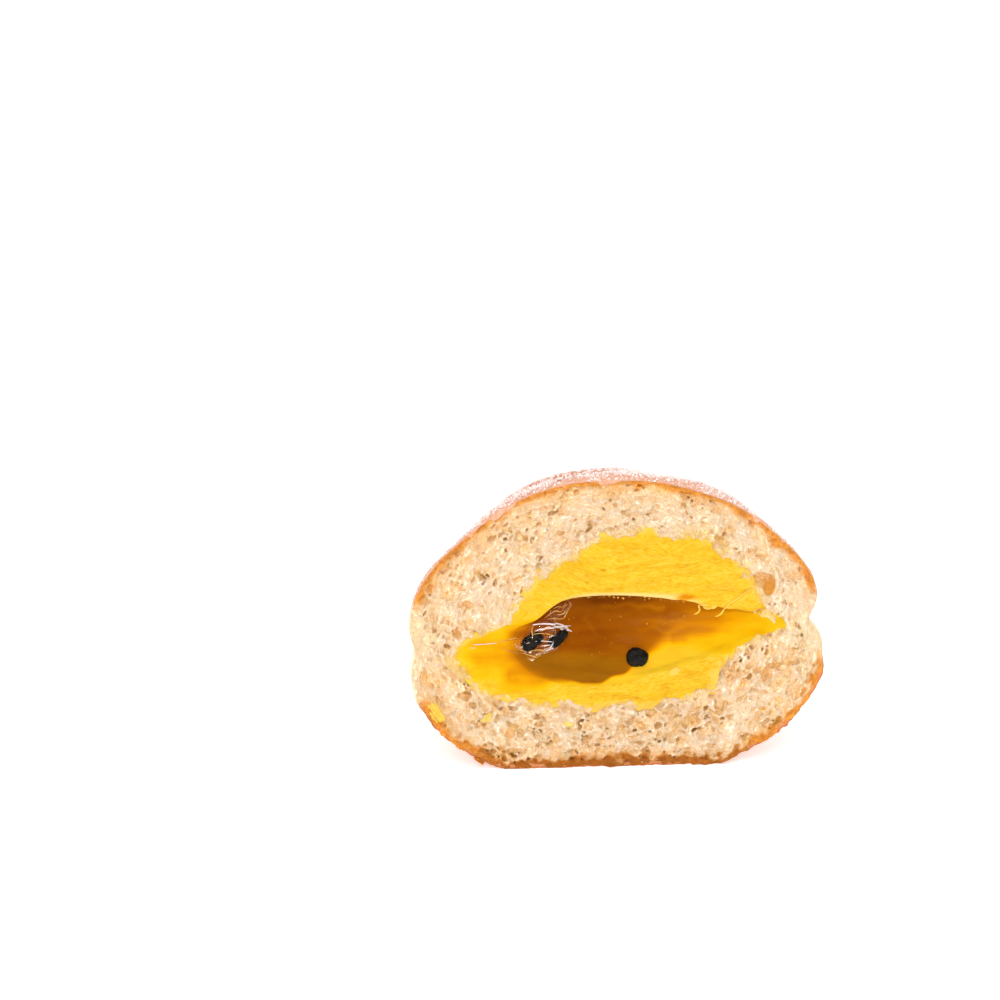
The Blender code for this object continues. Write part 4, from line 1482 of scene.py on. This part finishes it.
# plain substances: the shader's values; the speckles' scale and levels, and the two colours;
# and where it is uneven, the scale, strength and depth of that
plainLooks = {
    "black passion fruit seed": (
        {"Roughness": 0.2, "Specular IOR Level": 0.06, "Coat Weight": 0.06, "Coat Roughness": 0.04},
        (700, 0.4, 0.65), (8, 7, 6), (30, 26, 22), (900, 0.5, 0.0003),
    ),
    "clear seed sac": (
        {"Roughness": 0.03, "Transmission Weight": 1.0, "IOR": 1.22},
        (300, 0.4, 0.7), (255, 240, 205), (255, 232, 180), (420, 0.25, 0.0004),
    ),
    "film folds with white painted highlights": (
        {"Roughness": 0.12, "Specular IOR Level": 0.4, "Alpha": 0.85},
        (700, 0.4, 0.65), (238, 226, 226), (226, 196, 176), None,
    ),
    "clear folds of film": (
        {"Roughness": 0.12, "Specular IOR Level": 0.4, "Alpha": 0.85},
        (700, 0.4, 0.65), (216, 168, 84), (190, 126, 44), None,
    ),
    "pale juice bubble": (
        {"Roughness": 0.1, "Specular IOR Level": 0.3, "Alpha": 0.75},
        (1200, 0.4, 0.65), (224, 168, 60), (204, 136, 30), None,
    ),
    "white sugar": (
        {
            "Roughness": 0.35, "Subsurface Weight": 0.3, "Subsurface Radius": (1.0, 1.0, 1.0),
            "Subsurface Scale": 0.0004,
        },
        (900, 0.4, 0.6), (252, 246, 243), (246, 228, 222), None,
    ),
    "pale table lit from below": (
        {"Roughness": 0.7, "Specular IOR Level": 0.2, "Emission Strength": 0.4},
        (8, 0.3, 0.7), (252, 252, 252), (250, 250, 250), None,
    ),
}


def toned(tree, colour, pattern, name, share=1.0):
    # the colour with these tones multiplied in, by where the pattern is between its ends
    return mixColours(tree, share, colour, rampColours(tree, pattern, tones[name]), "MULTIPLY")


def plainMaterial(name):
    values, (scale, low, high), first, second, uneven = plainLooks[name]
    material, tree, shader = newMaterial(name, values)
    colour = mixColours(tree, spots(tree, scale, low, high), paint(*first), paint(*second))
    connect(tree, shader, Base_Color=colour)
    if uneven:
        scale, strength, depth = uneven
        relief = bumpFrom(tree, spots(tree, scale, 0.35, 0.65), strength, depth)
        connect(tree, shader, Normal=relief)
    return material


def crumbMaterial():
    material, tree, shader = newMaterial(
        "pale airy crumb",
        {
            "Roughness": 0.7, "Specular IOR Level": 0.2, "Subsurface Weight": 0.42,
            "Subsurface Radius": (1.0, 0.7, 0.35), "Subsurface Scale": 0.0005,
        },
    )
    pale = mixColours(tree, spots(tree, 260, 0.35, 0.65), paint(254, 230, 200), paint(252, 221, 184))
    below = mixColours(tree, layer(tree, "under"), pale, paint(252, 230, 204))
    # painted highlight on the thin walls, and the waist's own paler crumb
    walls = tinted(tree, "walls", 0.65, below, paint(255, 234, 212))
    # painted shade in the pores, mixed in by how deep they reach
    poreShade = mixColours(tree, layer(tree, "under"), paint(253, 204, 134), paint(246, 204, 140))
    deep = mixColours(tree, layer(tree, "depth"), walls, poreShade)
    # painted highlights along thin curled lines, a thin painted shadow beside them, and painted shade between
    large, small = curls(tree, 1100, "flow"), curls(tree, 2600, "flow")
    curled = toned(tree, deep, large, "crumb walls to hollows", 0.8)
    curled = toned(tree, curled, small, "crumb walls to hollows", 0.9)
    curled = tinted(tree, "waist", 0.5, curled, paint(250, 218, 162))
    haloed = tinted(tree, "halo", 0.7, curled, paint(240, 174, 80))
    stained = tinted(tree, "nearCream", 0.7, haloed, paint(246, 202, 96))
    crusty = mixColours(tree, layer(tree, "base"), paint(240, 158, 62), paint(182, 108, 32))
    darker = mixColours(tree, multiply(tree, spots(tree, 900, 0.4, 0.7), 0.4), crusty, paint(166, 88, 16))
    baked = mixColours(tree, layer(tree, "browning"), stained, darker)
    walled = addNode(tree, "Math", {0: large, 1: small}, operation="MINIMUM").outputs[0]
    relief = bumpFrom(tree, spread(tree, walled, 0, 0.12, 1, 0), 0.95, 0.00029)
    connect(tree, shader, Base_Color=baked, Normal=relief)
    return material


def crustMaterial():
    material, tree, shader = newMaterial(
        "golden crust with sugar dust",
        {
            "Roughness": 0.5, "Subsurface Weight": 0.15, "Subsurface Radius": (1.0, 0.5, 0.2),
            "Subsurface Scale": 0.0015,
        },
    )
    golden = mixColours(tree, spots(tree, 120, 0.35, 0.65), paint(212, 118, 36), paint(186, 92, 30))
    golden = mixColours(tree, layer(tree, "under"), golden, paint(184, 102, 30))
    skin = mixColours(tree, layer(tree, "browning"), paint(252, 226, 190), golden)
    powder = tinted(tree, "dusty", 0.4, skin, paint(240, 196, 172))
    streaked = mixColours(tree, spots(tree, 900, 0.42, 0.6), paint(238, 170, 134), paint(244, 202, 178))
    powder = tinted(tree, "rubbed", 0.55, powder, streaked)
    dust = multiply(tree, spots(tree, 1300, 0.5, 0.62, 2.0), layer(tree, "dusty"))
    dusted = mixColours(tree, multiply(tree, dust, 0.6), powder, paint(240, 214, 202))
    relief = bumpFrom(tree, spots(tree, 1500, 0.3, 0.7), 0.3, 0.0002)
    connect(tree, shader, Base_Color=dusted, Normal=relief)
    return material


def fillingMaterial(name):
    # cream where no juice has wetted it, and clear juice where it is deep
    material, tree, shader = newMaterial(
        name,
        {
            "Subsurface Weight": 0.25, "Subsurface Radius": (1.0, 0.6, 0.15), "Subsurface Scale": 0.0007,
            "Specular IOR Level": 0.02, "Coat IOR": 1.2, "Coat Roughness": 0.06,
        },
    )
    juice = layer(tree, "juice")
    plain = spread(tree, juice, 0, 0.2, 1, 0)  # 1 on cream without juice
    swirls = fineNoise(tree, 500, (0.25, 1, 1), 6.0, 0.5)
    juicy = toned(tree, rampColours(tree, juice, juiceColours), swirls, "juice swirls")
    marbled = mixColours(tree, multiply(tree, spots(tree, 180, 0.4, 0.7), 0.3), juicy, paint(228, 190, 52))
    # painted highlight on the ridges and painted shade in the creases
    ridgeHighlightsAndCreaseShade = rampColours(tree, layer(tree, "ridge"), tones["cream crease shade to ridge highlights"])
    ridgeHighlightsAndCreaseShade = mixColours(tree, plain, (1, 1, 1, 1), ridgeHighlightsAndCreaseShade)
    whipped = mixColours(tree, 1.0, mixColours(tree, plain, juicy, marbled), ridgeHighlightsAndCreaseShade, "MULTIPLY")
    brushed = fineNoise(tree, 4200, detail=4.0, flow="flow")
    whipped = mixColours(tree, plain, whipped, toned(tree, whipped, brushed, "cream brush lines"))
    # painted highlight along the lip and on the cream's folds; on the smears, their own paler cream
    lipped = tinted(tree, "lip", 0.8, whipped, paint(232, 210, 138))
    lipped = tinted(tree, "margin", 0.6, lipped, paint(240, 194, 92))
    olive = tinted(tree, "ochre", 0.85, lipped, toned(tree, paint(140, 88, 4), swirls, "juice swirls"))
    rough, wet = spread(tree, juice, 0, 0.25, 0.42, 0.12), spread(tree, juice, 0.05, 0.2, 0, 0.05)
    relief = bumpFrom(tree, multiply(tree, brushed, plain), 0.5, 0.0003)
    connect(tree, shader, Base_Color=olive, Roughness=rough, Coat_Weight=wet, Normal=relief)
    return material


# The stage

view = {
    "azimuth": math.radians(-4),
    "elevation": math.radians(17.5),
    "distance": 0.6,
    "span": 0.2145,  # metres across the picture at the cut
    "centreRight": 0.02491,  # of the section's centre from the picture's middle
    "centreDown": 0.0286,
    "tableHalf": 6.0,
    "world": 0.84,
    "lit": (0, -0.01, 0.03),  # where both lamps point
    # place, strength and size
    "key": ((-0.18, -0.78, 0.65), 1.09, math.radians(34)),
    "glint": ((-0.12, -0.28, 0.5), 0.5, 0.05),
}


def setUpCamera():
    azimuth, elevation = view["azimuth"], view["elevation"]
    flat = math.cos(elevation)
    back = Vector((math.sin(azimuth) * flat, -math.cos(azimuth) * flat, math.sin(elevation)))
    right = Vector((math.cos(azimuth), math.sin(azimuth), 0))
    up = back.cross(right)
    centre = Vector(whole["sectionCentre"]) * 0.001
    aim = centre - right * view["centreRight"] + up * view["centreDown"]
    data = bpy.data.cameras.new("camera")
    data.lens = data.sensor_width * view["distance"] / view["span"]
    camera = addToScene("camera", data)
    placed = Matrix((right, up, back)).transposed().to_4x4()
    placed.translation = aim + back * view["distance"]
    camera.matrix_world = placed
    bpy.context.scene.camera = camera


def addLight(name, kind, place, power, size):
    data = bpy.data.lights.new(name, kind)
    data.energy = power
    if kind == "SUN":
        data.angle = size
    else:
        data.shape = "DISK"
        data.size = size
    lamp = addToScene(name, data)
    lamp.location = place
    aim = Vector(view["lit"]) - Vector(place)
    lamp.rotation_euler = aim.to_track_quat("-Z", "Y").to_euler()


def setUpStage():
    mesh = bpy.data.meshes.new("pale_table")
    half = view["tableHalf"]
    corners = [(-half, -half, 0), (half, -half, 0), (half, half, 0), (-half, half, 0)]
    mesh.from_pydata(corners, [], [(0, 1, 2, 3)])
    mesh.materials.append(plainMaterial("pale table lit from below"))
    table = addToScene("pale_table", mesh)
    world = bpy.data.worlds.new("white studio")
    world.use_nodes = True
    background = world.node_tree.nodes["Background"]
    background.inputs["Strength"].default_value = view["world"]
    background.inputs["Color"].default_value = (1, 1, 1, 1)
    bpy.context.scene.world = world
    addLight("key", "SUN", *view["key"])
    addLight("glint", "AREA", *view["glint"])
    bpy.context.scene.view_settings.view_transform = "Standard"


setUpCamera()
setUpStage()
crumbPaint = crumbMaterial()
creamPaint = fillingMaterial("yellow mango cream")
buildCrumb(crumbPaint)
buildCrust(crustMaterial())
creamSurface = buildCream(creamPaint)
jellySurface = buildJelly(fillingMaterial("amber passion fruit jelly"))
for name in bits:
    fromDough = name == "crust_flake"
    onCrumb = fromDough or "smear" in name
    surface = cutRelief if onCrumb else lambda x, z: 0.15 - creamRelief(x, z)
    look, slot = (crumbPaint, "dough") if fromDough else (creamPaint, "mango_cream")
    buildBit(name, surface, look)
buildSeeds(jellySurface, plainMaterial("black passion fruit seed"))
filmSurfaces = buildSac(jellySurface, plainMaterial("clear seed sac"))
buildBubbles(jellySurface, plainMaterial("pale juice bubble"))
wetSurfaces = [creamSurface, jellySurface, *filmSurfaces]


def onWet(x, z):
    return depthAt(wetSurfaces, x, z)


def hanging(x, z):
    # strings of cream hang before the juice
    return np.minimum(onWet(x, z), 0.5)


# white strands as painted highlights on the film
buildStrands("film_gleams", onWet, plainMaterial("film folds with white painted highlights"), "passion_fruit_jelly")
buildStrands("film_folds", onWet, plainMaterial("clear folds of film"), "passion_fruit_jelly")
# the lip and ridge layers give the folds a painted highlight
buildStrands("cream_folds", hanging, creamPaint, "mango_cream", juice=0.03, lip=0.3, ridge=0.8)
white = plainMaterial("white sugar")
scatterGrains("sugar_fine", sugar["fineGrains"], sugar["fineSize"], octahedron, white)
scatterGrains("sugar_coarse", sugar["coarseGrains"], sugar["coarseSize"], cube, white)
